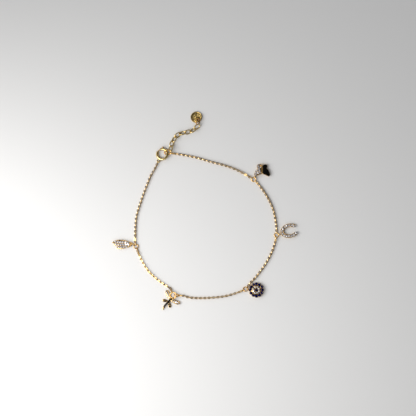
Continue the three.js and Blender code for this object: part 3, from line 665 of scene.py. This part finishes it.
for number, stretch in enumerate(stretches, 1):
    route = stretch["route"]
    first, firstRoll = hookedLink(stretch["from"], stretch["fromBearing"], route[0])
    last, lastRoll = hookedLink(stretch["to"], stretch["toBearing"], route[-1])
    middle = [Vector((x, y, chain["linkWidth"] / 2)) for x, y in route]
    line = throughPoints([first, *middle, last], 12)
    length = sum((b - a).length for a, b in zip(line, line[1:]))
    lie, twist = math.radians(stretch["lie"]), math.radians(stretch.get("twist", 0))
    steps = math.ceil(length / chain["pitch"])
    lastTurn = halfTurns(-lastRoll - lie - twist - steps * math.pi / 2)
    if abs(lastTurn) > math.pi / 4:  # one link more, so that the last one comes nearer to its ring's way
        steps += 1
        lastTurn = halfTurns(-lastRoll - lie - twist - steps * math.pi / 2)
    mesh = grown(seedCurve(line), chainTree, {
        "Link Length": chain["linkLength"] * mm, "Link Width": chain["linkWidth"] * mm,
        "Side Wire": chain["sideWire"] * mm, "End Wire": chain["endWire"] * mm,
        "Thickness": chain["thickness"] * mm, "Links": steps + 1, "Lie": lie, "Twist": twist,
        "First Turn": halfTurns(firstRoll - lie), "Last Turn": lastTurn,
        "Turned Links": float(chain["turnedLinks"]), "Metal": chainGold})
    finishPiece(linked(f"chainLinks{number}", mesh), "bracelet", [f"chain_{number}"])
    print(f"bracelet: chain stretch {number}, {steps + 1} links over {length:.1f} mm")


# ---- jump rings and extender

def ringTurn(ring):
    return (math.radians(ring["lean"]), 0.0, math.radians(ring["bearing"]))


ringOpening = math.radians(5)
for name, ring in jumpRings.items():
    seed = seedPoints([ring["at"]], turn=[ringTurn(ring)])
    mesh = grown(seed, loopTree, {
        "Length": ring["outer"] * mm, "Width": ring["outer"] * mm, "Wire": ring["wire"] * mm,
        "Opening": ringOpening, "Metal": ringGold})
    parts = name.split("_")
    pieceName = parts[0] + "".join(word.capitalize() for word in parts[1:])
    finishPiece(linked(pieceName, mesh), "bracelet", [name])

extender = {"length": 3.16, "width": 2.16, "wire": 0.46, "roll": 38, "links": [
    (-13.75, 24.38, 1.48), (-13.38, 26.37, 0.85), (-12.4, 28.29, 0.75), (-11.07, 29.97, 0.81),
    (-9.08, 30.8, 0.79), (-6.95, 31.24, 0.75), (-4.9, 31.91, 0.77), (-3.29, 33.32, 0.91)]}
centers = [Vector(p) for p in extender["links"]]
turns = []
for i, center in enumerate(centers):
    along = centers[min(i + 1, len(centers) - 1)] - centers[max(i - 1, 0)]
    heading = math.atan2(along.y, along.x)
    pitch = math.atan2(along.z, math.hypot(along.x, along.y))
    roll = math.radians(extender["roll"] if i % 2 else -extender["roll"])
    turns.append((roll, -pitch, heading))
mesh = grown(seedPoints(centers, turn=turns), loopTree, {
    "Length": extender["length"] * mm, "Width": extender["width"] * mm, "Wire": extender["wire"] * mm,
    "Opening": 0.0, "Steps": 28, "Sides": 10, "Metal": claspGold})
finishPiece(linked("extenderChain", mesh), "bracelet",
            [f"extender_link_{i}" for i in range(1, 9)])
print("bracelet: rings and extender laid")


# ---- clasp

# A tube bent round, open where the hook's gap is and slit where the gate's lever runs.
def claspWall():
    steps, halfTube = 84, clasp["tube"] / 2
    slit = math.degrees(math.asin(clasp["slotHeight"] / 2 / halfTube))
    around = [slit, 40, 60, 80, 100, 120, 140, 160, 180, 200, 220, 240, 260, 280, 300, 320, 360 - slit]
    sweep = 360 + clasp["gapStart"] - clasp["gapEnd"]
    bends = [clasp["gapEnd"] + sweep * i / steps for i in range(steps + 1)]
    form = bmesh.new()
    rows = []
    for bend in bends:
        out = onBearing(1, bend)
        rows.append([form.verts.new(clasp["radius"] * out + halfTube * (math.cos(math.radians(a)) * out
                     + math.sin(math.radians(a)) * Vector((0, 0, 1)))) for a in around])
    for i in range(steps):
        middle = (bends[i] + bends[i + 1]) / 2 - 360
        for k in range(len(around)):
            outermost = k == len(around) - 1
            if outermost and clasp["slotStart"] < middle < clasp["slotEnd"]:
                continue
            j = (k + 1) % len(around)
            form.faces.new((rows[i][k], rows[i][j], rows[i + 1][j], rows[i + 1][k]))
    bmesh.ops.recalc_face_normals(form, faces=form.faces)
    wall = (clasp["tube"] - clasp["bore"]) / 2
    bmesh.ops.solidify(form, geom=form.faces[:], thickness=wall)
    return form


form = bmesh.new()
addBm(form, claspWall(), claspPlace)
eyePlace = claspPlace @ Matrix.Translation(onBearing(clasp["eyeReach"], clasp["eyeBearing"]))
addBm(form, loopForm(clasp["eyeOuter"], clasp["eyeOuter"], clasp["eyeWire"]), eyePlace)
for bearing in (clasp["gapEnd"] + 3, clasp["gapStart"] - 3):  # collars at the mouth
    collar = loopForm(clasp["tube"] + 0.12, clasp["tube"] + 0.12, 0.12, steps=24, sides=8)
    upright = Matrix.Rotation(math.radians(bearing), 4, "Z") @ Matrix.Rotation(math.pi / 2, 4, "X")
    addBm(form, collar, claspPlace @ Matrix.Translation(onBearing(clasp["radius"], bearing)) @ upright)
finishPiece(linked("claspHousing", meshFrom("claspHousing", form)), "bracelet",
            ["clasp_housing"], claspGold)

gate = {"bolt": 0.42, "tail": 78, "tip": 156, "lever": 85, "head": 0.3, "headWidth": 0.8}
form = bmesh.new()
bends = [gate["tail"] + (gate["tip"] - gate["tail"]) * i / 26 for i in range(27)]
taper = [gate["bolt"] / 2 * (1 if bend < gate["tip"] - 5 else 0.82 if bend < gate["tip"] - 1 else 0.5)
         for bend in bends]
addBm(form, tubeForm([onBearing(clasp["radius"], bend) for bend in bends], taper, 12), claspPlace)
leverReach = clasp["radius"] + clasp["tube"] / 2 + 0.07
stem = tubeForm([onBearing(reach, gate["lever"]) for reach in (clasp["radius"], leverReach + 0.2)], 0.09, 8)
addBm(form, stem, claspPlace)
knob = bmesh.new()
bmesh.ops.create_uvsphere(knob, u_segments=16, v_segments=10, radius=1)
knobPlace = (claspPlace @ Matrix.Translation(onBearing(leverReach + 0.23, gate["lever"]))
             @ Matrix.Rotation(math.radians(gate["lever"]), 4, "Z"))
addBm(form, knob, knobPlace @ Matrix.Diagonal((0.225, gate["headWidth"] / 2, gate["head"], 1)))
finishPiece(linked("claspGate", meshFrom("claspGate", form)), "gate", ["clasp_gate"], ringGold)
print("bracelet: clasp made")


# ---- tag

tag = {"center": (-3.53, 37.41), "radius": 2.3, "thickness": 0.4, "rim": 0.28, "sunk": 0.08, "hole": 0.54,
       "holeReach": 1.5, "bearing": -48, "dimple": 0.14}
tagTilt = math.atan2(jumpRings["tag_ring"]["wire"] + runningGap, tag["radius"] + tag["holeReach"])
tagPlace = (Matrix.Translation((*tag["center"], tag["radius"] * math.sin(tagTilt)))
            @ Matrix.Rotation(math.radians(tag["bearing"]), 4, "Z") @ Matrix.Rotation(-tagTilt, 4, "Y"))


# The disc is one sheet of rings round the hole: under side, edge, raised rim and a hammered field.
def tagForm():
    around = 72
    radius, thick, hole = tag["radius"], tag["thickness"], tag["hole"]
    inner = radius - tag["rim"]
    field = thick - tag["sunk"]
    # share 0 is the hole's edge and share 1 the disc's edge
    profile = [(0, hole, 0.05), (0, hole + 0.05, 0)]
    profile += [(1, radius - 0.07, 0), (1, radius, 0.07), (1, radius, thick - 0.09),
                (1, radius - 0.03, thick - 0.03), (1, radius - 0.1, thick), (1, inner + 0.06, thick),
                (1, inner, field)]
    rings = 14
    form = bmesh.new()
    rows = []

    def ringAt(isOuter, size, height):
        center = Vector((0, 0, 0)) if isOuter else Vector((tag["holeReach"], 0, 0))
        return [center + onBearing(size, 360 * k / around) + Vector((0, 0, height)) for k in range(around)]

    for isOuter, size, height in profile:
        rows.append(ringAt(isOuter, size, height))
    rimRow, holeRow = ringAt(1, inner, field), ringAt(0, hole + 0.05, field)
    for i in range(1, rings):
        share = i / rings
        row = [a.lerp(b, share) for a, b in zip(rimRow, holeRow)]
        for point in row:
            dimple = (math.sin(7.1 * point.x + 1.3 * math.sin(5 * point.y))
                      * math.sin(6.3 * point.y + 1.1 * math.sin(4 * point.x)))
            point.z += tag["dimple"] * dimple * math.sin(math.pi * share)
        rows.append(row)
    rows += [holeRow, ringAt(0, hole, field - 0.05)]
    verts = [[form.verts.new(p) for p in row] for row in rows]
    for i in range(len(verts)):
        here, there = verts[i], verts[(i + 1) % len(verts)]
        for k in range(around):
            form.faces.new((here[k], here[(k + 1) % around], there[(k + 1) % around], there[k]))
    return form


form = bmesh.new()
addBm(form, tagForm(), tagPlace)
finishPiece(linked("tagDisc", meshFrom("tagDisc", form)), "bracelet", ["tag_disc"], tagGold)
print("bracelet: tag made")


# ---- charms

bail = {"outer": 1.35, "wire": 0.32}


def charmPlace(center, turn=0):
    return Matrix.Translation((*center, 0)) @ Matrix.Rotation(math.radians(turn), 4, "Z")


# An upright loop that joins a charm to its ring, already in the layout's frame.
def addBail(form, ringName, bearing, heading=None, away=0, outer=bail["outer"]):
    heading = bearing if heading is None else heading
    grip, _ = ringGrip(ringName, bearing)
    reach = outer / 2 - bail["wire"] - jumpRings[ringName]["wire"] / 2 - runningGap
    center = grip + onBearing(reach + away, heading)
    center.z = max(grip.z, outer / 2)
    addBm(form, loopForm(outer + 2 * away, outer, bail["wire"]), laid(center, heading, 90))


# Stones and their prong beads, from (x, y, height, radius) in the charm's own frame.
def setStones(name, place, stones, body="bracelet", material=clearStone, replaced=(),
              beads=4, beadSize=0.2, reach=1.06, firstBead=45, crown=0.34):
    points = [place @ Vector((x, y, z)) for x, y, z, _ in stones]
    radii = [radius * mm for *_, radius in stones]
    cut = grown(seedPoints(points, stoneRadius=radii), stoneTree, {"Stone": material, "Crown": crown})
    finishPiece(linked(name + "Stones", cut), body, replaced)
    if beads:
        mesh = grown(seedPoints(points, stoneRadius=radii), beadTree, {
            "Beads": beads, "Reach": reach, "Bead Size": beadSize, "First": math.radians(firstBead),
            "Metal": paleGold})
        finishPiece(linked(name + "Beads", mesh), body, ())


# ---- butterfly

butterfly = {
    "center": (22.92, 15.68), "plate": 0.85, "pocket": 0.22, "rim": 0.16, "backing": 0.45, "enamelTop": 1.05,
    "wing": [(0.1, -1.25), (1.1, -1.75), (2.0, -2.2), (2.75, -2.42), (3.1, -1.9), (2.9, -0.8), (2.4, 0.1),
             (1.85, 0.6), (2.0, 1.15), (2.08, 1.8), (1.7, 2.3), (1.05, 2.38), (0.5, 2.1), (0.1, 1.5)],
    "stones": [(-1.45, 1.62, 0.45), (-0.66, 1.2, 0.3), (-1.22, 0.7, 0.36), (-1.95, -0.1, 0.4),
               (-1.1, -0.18, 0.38), (-2.4, -0.95, 0.42), (-1.5, -1.1, 0.42), (-0.72, -0.85, 0.33),
               (-2.42, -1.82, 0.34)],
}


def makeButterfly():
    place = charmPlace(butterfly["center"])
    wing = outlineThrough(butterfly["wing"])
    left = mirrored(wing)
    height, floor = butterfly["plate"], butterfly["plate"] - butterfly["pocket"]
    form = bmesh.new()
    addBm(form, plateForm(left, 0, floor), place)
    addBm(form, rimForm(left, butterfly["rim"], floor - 0.1, height), place)
    addBm(form, plateForm(wing, 0, butterfly["backing"]), place)
    addBm(form, rimForm(wing, 0.07, 0.3, butterfly["enamelTop"] - 0.12, 0.02), place)
    bodyLine = (-1.65, -1.5, -1.0, 0, 1.0, 1.6, 1.95, 2.05)
    body = tubeForm([Vector((0, y, butterfly["enamelTop"] - 0.2)) for y in bodyLine],
                    [0.05, 0.1, 0.13, 0.13, 0.12, 0.15, 0.12, 0.05], 12)
    addBm(form, body, place)
    for side in (-1, 1):  # feelers
        feeler = [Vector((side * x, y, 0.8)) for x, y in ((0.08, 1.9), (0.25, 2.3), (0.5, 2.62), (0.62, 2.6))]
        addBm(form, tubeForm(throughPoints(feeler, 4), 0.08, 8), place)
    addBail(form, "butterfly_ring", 62, away=0.12)
    finishPiece(linked("butterflySetting", meshFrom("butterflySetting", form)), "bracelet",
                ["butterfly_setting"], settingGold)

    clear = [Vector((max(p.x, 0.34), p.y)) for p in drawnIn(wing, 0.09)]
    form = bmesh.new()
    addBm(form, plateForm(clear, butterfly["backing"], butterfly["enamelTop"], edge=0.1), place)
    finishPiece(linked("butterflyEnamel", meshFrom("butterflyEnamel", form)), "bracelet",
                ["butterfly_enamel"], blackEnamel)
    setStones("butterfly", place, [(x, y, height - 0.08, 1.12 * r) for x, y, r in butterfly["stones"]])


# ---- horseshoe

horseshoe = {"center": (33.72, -8.7), "turn": 12, "halfLength": 3.05, "halfWidth": 2.15, "band": 1.25,
             "height": 0.8, "openAngle": 40, "stones": 14, "stone": 0.51}


# Points spaced evenly along the open oval of the shoe, grown or shrunk.
def shoeLine(grow, count):
    start, end = math.radians(horseshoe["openAngle"]), math.radians(360 - horseshoe["openAngle"])
    fine = [Vector(((horseshoe["halfLength"] + grow) * math.cos(a),
                    (horseshoe["halfWidth"] + grow) * math.sin(a)))
            for a in (start + (end - start) * i / 400 for i in range(401))]
    lengths = [0.0]
    for a, b in zip(fine, fine[1:]):
        lengths.append(lengths[-1] + (b - a).length)
    spaced, at = [], 0
    for i in range(count + 1):
        target = lengths[-1] * i / count
        while at < 399 and lengths[at + 1] < target:
            at += 1
        share = (target - lengths[at]) / max(lengths[at + 1] - lengths[at], 1e-9)
        spaced.append(fine[at].lerp(fine[at + 1], min(share, 1)))
    return spaced


def makeHorseshoe():
    place = charmPlace(horseshoe["center"], horseshoe["turn"])
    half, height = horseshoe["band"] / 2, horseshoe["height"]
    outline = [*shoeLine(half, 60), *reversed(shoeLine(-half, 60))]
    form = bmesh.new()
    addBm(form, plateForm(outline, 0, height - 0.12, edge=0.08), place)
    for grow in (half - 0.06, 0.06 - half):  # bright wires along both edges
        wire = [Vector((p.x, p.y, height - 0.1)) for p in shoeLine(grow, 60)]
        addBm(form, tubeForm(wire, 0.09, 8), place)
    addBail(form, "horseshoe_ring", 12, away=0.25)
    finishPiece(linked("horseshoeSetting", meshFrom("horseshoeSetting", form)), "bracelet",
                ["horseshoe_setting"], settingGold)
    stones = [(p.x, p.y, height - 0.05, horseshoe["stone"]) for p in shoeLine(0, horseshoe["stones"] - 1)]
    setStones("horseshoe", place, stones, beads=4, beadSize=0.22, reach=1.08)


# ---- round eye

eye = {"body": 2.45, "height": 1.05, "outerStones": 12, "outerReach": 2.4, "outerStone": 0.58,
       "cupWall": 0.04, "centerStone": 0.54, "innerStones": 8, "innerReach": 1.22, "innerStone": 0.42,
       "bail": 1.1}


def discForm(radius, bottom, top, edge, around=64):
    profile = [(radius - edge, bottom), (radius, bottom + edge), (radius, top - edge),
               (radius - 0.3 * edge, top - 0.3 * edge), (radius - edge, top)]
    form = bmesh.new()
    rows = [[form.verts.new(onBearing(r, 360 * k / around) + Vector((0, 0, z))) for k in range(around)]
            for r, z in profile]
    for low, high in zip(rows, rows[1:]):
        for k in range(around):
            form.faces.new((low[k], low[(k + 1) % around], high[(k + 1) % around], high[k]))
    form.faces.new(list(reversed(rows[0])))
    form.faces.new(rows[-1])
    return form


def makeEye():
    place = charmPlace(eyeCenter.xy)
    height = eye["height"]
    outer = [onBearing(eye["outerReach"], 360 * i / eye["outerStones"]) for i in range(eye["outerStones"])]
    inner = [onBearing(eye["innerReach"], 360 * (i + 0.5) / eye["innerStones"])
             for i in range(eye["innerStones"])]
    form = bmesh.new()
    addBm(form, discForm(eye["body"], 0, height - 0.1, 0.12), place)
    for spot in [*outer, Vector((0, 0, 0))]:  # a cup under each navy stone
        size = (eye["outerStone"] if spot.length else eye["centerStone"]) + eye["cupWall"]
        cup = tubeForm([spot + Vector((0, 0, z)) for z in (0.02, height - 0.02)], size, 20)
        addBm(form, cup, place)
    addBail(form, "eye_ring", -8, outer=eye["bail"])
    finishPiece(linked("eyeSetting", meshFrom("eyeSetting", form)), "bracelet", ["eye_setting"],
                settingGold)
    navy = [(p.x, p.y, height - 0.02, eye["outerStone"]) for p in outer]
    navy.append((0, 0, height + 0.02, eye["centerStone"]))
    nodes = [f"eye_stone_{i}" for i in range(1, eye["outerStones"] + 1)] + ["eye_stone_center"]
    setStones("eyeNavy", place, navy, material=navyStone, replaced=nodes, beads=4,
              beadSize=0.1, reach=1.02, crown=0.3)
    clear = [(p.x, p.y, height - 0.04, eye["innerStone"]) for p in inner]
    setStones("eyeClear", place, clear, beads=4, beadSize=0.26, reach=1.05)


# ---- dragonfly

dragonfly = {
    "center": (-13.92, -36.32), "turn": -44, "plate": 0.7, "pocket": 0.2, "rim": 0.14, "backing": 0.4,
    "enamelTop": 0.95, "foreTurn": 25, "hindTurn": -31, "foreRoot": (0.25, 0.35), "hindRoot": (0.25, -0.75),
    "foreWing": [(0, -0.26), (1.1, -0.58), (2.4, -0.8), (3.4, -0.62), (3.85, 0), (3.3, 0.56), (2.4, 0.64),
                 (1.1, 0.46), (0, 0.26)],
    "hindWing": [(0, -0.22), (0.9, -0.5), (1.7, -0.62), (2.2, -0.25), (2.15, 0.35), (1.5, 0.55), (0.6, 0.4),
                 (0, 0.22)],
    "trailing": [(0.62, -0.12), (0.7, -0.38), (1.3, -0.5), (1.75, -0.52), (2.08, -0.25), (1.9, -0.04),
                 (1.3, -0.02)],
    "tail": [(0.28, -2.9), (-0.28, -2.9), (-0.1, -3.6), (0.3, -4.5), (0.52, -4.72), (0.6, -4.3),
             (0.56, -3.7)],
    "foreStones": [(0.75, -0.05, 0.28), (1.42, -0.05, 0.34), (2.2, -0.07, 0.42), (3.08, -0.05, 0.42)],
}


def makeDragonfly():
    place = charmPlace(dragonfly["center"], dragonfly["turn"])
    height, floor = dragonfly["plate"], dragonfly["plate"] - dragonfly["pocket"]
    fore = turnedTo(outlineThrough(dragonfly["foreWing"]), dragonfly["foreRoot"], dragonfly["foreTurn"])
    hind = turnedTo(outlineThrough(dragonfly["hindWing"]), dragonfly["hindRoot"], dragonfly["hindTurn"])
    half = turnedTo(outlineThrough(dragonfly["trailing"]), dragonfly["hindRoot"], dragonfly["hindTurn"])
    form = bmesh.new()
    for outline in (fore, mirrored(fore)):
        addBm(form, plateForm(outline, 0, floor), place)
        addBm(form, rimForm(outline, dragonfly["rim"], floor - 0.1, height), place)
    for outline in (hind, mirrored(hind)):
        addBm(form, plateForm(outline, 0, dragonfly["backing"], edge=0.1), place)
    for outline in (half, mirrored(half)):
        addBm(form, rimForm(outline, 0.06, 0.3, dragonfly["backing"] + 0.18, 0.02), place)
    spine = [(0.16, -3.3, 0.35), (0.3, -2.6, 0.4), (0.36, -1.4, 0.45), (0.38, -0.3, 0.5), (0.44, 0.5, 0.5),
             (0.34, 0.95, 0.5), (0.12, 1.1, 0.5)]
    body = tubeForm([Vector((0, y, z * 0.9)) for _, y, z in spine], [r for r, _, _ in spine], 14)
    addBm(form, body, place)
    tail = outlineThrough(dragonfly["tail"], 4)
    addBm(form, plateForm(tail, 0.1, 0.6, edge=0.1), place)
    addBail(form, "dragonfly_ring", 265, heading=255, away=0.1)
    finishPiece(linked("dragonflySetting", meshFrom("dragonflySetting", form)), "bracelet",
                ["dragonfly_setting"], settingGold)

    body = [Vector(p) for p in ((-0.31, -3.05), (0, -3.25), (0.31, -3.05), (0.35, -0.4), (0.39, 0.6),
                                (0.18, 1.0), (-0.18, 1.0), (-0.39, 0.6), (-0.35, -0.4))]
    form = bmesh.new()
    addBm(form, plateForm(body, height + 0.03, dragonfly["enamelTop"] + 0.25, edge=0.14), place)
    finishPiece(linked("dragonflyBodyEnamel", meshFrom("dragonflyBodyEnamel", form)), "bracelet",
                ["dragonfly_body_enamel"], blackEnamel)
    form = bmesh.new()
    for outline in (half, mirrored(half)):
        fill = plateForm(drawnIn(outline, 0.03), dragonfly["backing"], dragonfly["enamelTop"] - 0.2,
                         edge=0.08)
        addBm(form, fill, place)
    finishPiece(linked("dragonflyWingEnamel", meshFrom("dragonflyWingEnamel", form)), "bracelet",
                ["dragonfly_wing_enamel_right", "dragonfly_wing_enamel_left"], blackEnamel)
    stones = []
    for x, y, radius in dragonfly["foreStones"]:
        spot = turnedTo([Vector((x, y))], dragonfly["foreRoot"], dragonfly["foreTurn"])[0]
        stones += [(side * spot.x, spot.y, height - 0.06, radius) for side in (1, -1)]
    setStones("dragonfly", place, stones)


# ---- angel wing

angelWing = {
    "root": (-29.3, -13.95), "plate": 0.75,
    "rows": [
        {"outline": [(0.35, -0.2), (0.1, 0.4), (-1.2, 0.95), (-3.4, 1.55), (-5.6, 1.5), (-7.1, 0.95),
                     (-7.55, 0.35), (-6.4, 0.3), (-4.5, 0.3), (-2.2, 0.05)],
         "stones": 6, "from": (-6.2, 0.88), "to": (-1.3, 0.42), "lift": 0.12},
        {"outline": [(0.3, -0.5), (0.3, 0.1), (-2.2, 0.3), (-4.5, 0.42), (-6.3, 0.28), (-6.95, -0.35),
                     (-6.0, -0.68), (-4.2, -0.72), (-2.0, -0.75)],
         "stones": 6, "from": (-5.95, -0.2), "to": (-1.15, -0.3), "lift": 0.06},
        {"outline": [(0.05, -0.75), (-0.1, -0.35), (-2.2, -0.5), (-4.4, -0.6), (-5.6, -1.1), (-5.75, -1.75),
                     (-4.6, -2.0), (-3.0, -1.85), (-1.2, -1.35)],
         "stones": 4, "from": (-4.85, -1.3), "to": (-1.95, -1.12), "lift": 0},
    ],
    "stone": 0.49,
}


def makeAngelWing():
    place = charmPlace(angelWing["root"])
    form = bmesh.new()
    stones = []
    for row in angelWing["rows"]:
        top = angelWing["plate"] + row["lift"]
        outline = outlineThrough(row["outline"])
        addBm(form, plateForm(outline, 0, top - 0.14), place)
        addBm(form, rimForm(outline, 0.12, top - 0.3, top - 0.02), place)
        for i in range(row["stones"]):
            spot = Vector(row["from"]).lerp(Vector(row["to"]), i / (row["stones"] - 1))
            stones.append((spot.x, spot.y, top - 0.05, angelWing["stone"]))
    addBail(form, "wing_ring", 142, away=0.25)
    finishPiece(linked("wingSetting", meshFrom("wingSetting", form)), "bracelet",
                ["wing_setting"], settingGold)
    setStones("wing", place, stones)


for maker in (makeButterfly, makeHorseshoe, makeEye, makeDragonfly, makeAngelWing):
    maker()
print("bracelet: charms set")


# ---- table, light and camera

stage = {
    "pictureWidth": 166.4, "pictureCenter": (1.2, 0.5), "elevation": 83, "lens": 85, "sensor": 36,
    "tableSize": 900, "tableColor": (0.80, 0.80, 0.80),
}
floor = bmesh.new()
bmesh.ops.create_grid(floor, x_segments=1, y_segments=1, size=stage["tableSize"] / 2)
table = linked("table", meshFrom("table", floor, smooth=False))
tabletop, nodes, links, shader = nodesOf("tabletop")
place = nodes.new("ShaderNodeTexCoord")
fibre = nodes.new("ShaderNodeTexNoise")
fibre.inputs["Scale"].default_value = 900
fibre.inputs["Detail"].default_value = 4
tooth = nodes.new("ShaderNodeBump")
tooth.inputs["Strength"].default_value = 0.08
tooth.inputs["Distance"].default_value = 0.05 * mm
links.new(place.outputs["Object"], fibre.inputs["Vector"])
links.new(fibre.outputs["Fac"], tooth.inputs["Height"])
links.new(tooth.outputs["Normal"], shader.inputs["Normal"])
shader.inputs["Base Color"].default_value = (*stage["tableColor"], 1)
shader.inputs["Roughness"].default_value = 0.85
shader.inputs["Specular IOR Level"].default_value = 0.2
table.data.materials.append(tabletop)

target = (Vector((*stage["pictureCenter"], 0)) + layoutShift) * mm
halfView = math.atan(stage["sensor"] / 2 / stage["lens"])
distance = stage["pictureWidth"] / 2 * mm / math.tan(halfView)
rise = math.radians(stage["elevation"])
back = Vector((0, -math.cos(rise), math.sin(rise)))
camera = bpy.data.objects.new("camera", bpy.data.cameras.new("camera"))
camera.data.lens, camera.data.sensor_width = stage["lens"], stage["sensor"]
camera.location = target + distance * back
camera.rotation_mode = "QUATERNION"
camera.rotation_quaternion = (-back).to_track_quat("-Z", "Y")
camera.data.clip_start, camera.data.clip_end = 0.01, 10
scene.collection.objects.link(camera)
scene.camera = camera


def areaLight(name, place, aim, width, height, power, color):
    data = bpy.data.lights.new(name, "AREA")
    data.shape, data.size, data.size_y = "RECTANGLE", width, height
    data.energy, data.color = power, color
    light = bpy.data.objects.new(name, data)
    light.location = place
    light.rotation_mode = "QUATERNION"
    light.rotation_quaternion = (Vector(aim) - Vector(place)).to_track_quat("-Z", "Y")
    scene.collection.objects.link(light)


lamp = {"at": (-0.127, -0.066, 0.15), "aim": (-0.012, -0.134, 0), "width": 0.14, "height": 0.2, "power": 0.45}
areaLight("windowLight", lamp["at"], lamp["aim"], lamp["width"], lamp["height"], lamp["power"],
          (1.0, 0.985, 0.96))

# The room is dim overhead and bright around, most of all on the window's side.
sky = {"side": (-0.97, -0.24), "strength": 0.93}
room = bpy.data.worlds.new("room")
scene.world = room
room.use_nodes = True
nodes, links = room.node_tree.nodes, room.node_tree.links
background = nodes["Background"]
spread = nodes.new("ShaderNodeTexCoord")
split = nodes.new("ShaderNodeSeparateXYZ")
shade = nodes.new("ShaderNodeValToRGB")
steps = [(0.0, 0.2), (0.3, 0.6), (0.52, 1.05), (0.7, 0.5), (0.82, 0.12), (1.0, 0.07)]
while len(shade.color_ramp.elements) < len(steps):
    shade.color_ramp.elements.new(0.5)
for element, (at, level) in zip(shade.color_ramp.elements, steps):
    element.position, element.color = at, (0.98 * level, 0.985 * level, 0.995 * level, 1)
toward = nodes.new("ShaderNodeVectorMath")
toward.operation = "DOT_PRODUCT"
toward.inputs[1].default_value = (*sky["side"], 0)
sided = nodes.new("ShaderNodeMapRange")
sided.inputs["From Min"].default_value = -1
sided.inputs["To Min"].default_value, sided.inputs["To Max"].default_value = 0.15, 1.85
links.new(spread.outputs["Generated"], split.inputs[0])
links.new(spread.outputs["Generated"], toward.inputs[0])
links.new(split.outputs["Z"], shade.inputs["Fac"])
links.new(toward.outputs["Value"], sided.inputs["Value"])
dim = nodes.new("ShaderNodeVectorMath")
dim.operation = "SCALE"
links.new(shade.outputs["Color"], dim.inputs[0])
links.new(sided.outputs["Result"], dim.inputs["Scale"])
links.new(dim.outputs["Vector"], background.inputs["Color"])
background.inputs["Strength"].default_value = sky["strength"]
scene.view_settings.view_transform = "Standard"
print("bracelet: table lit")
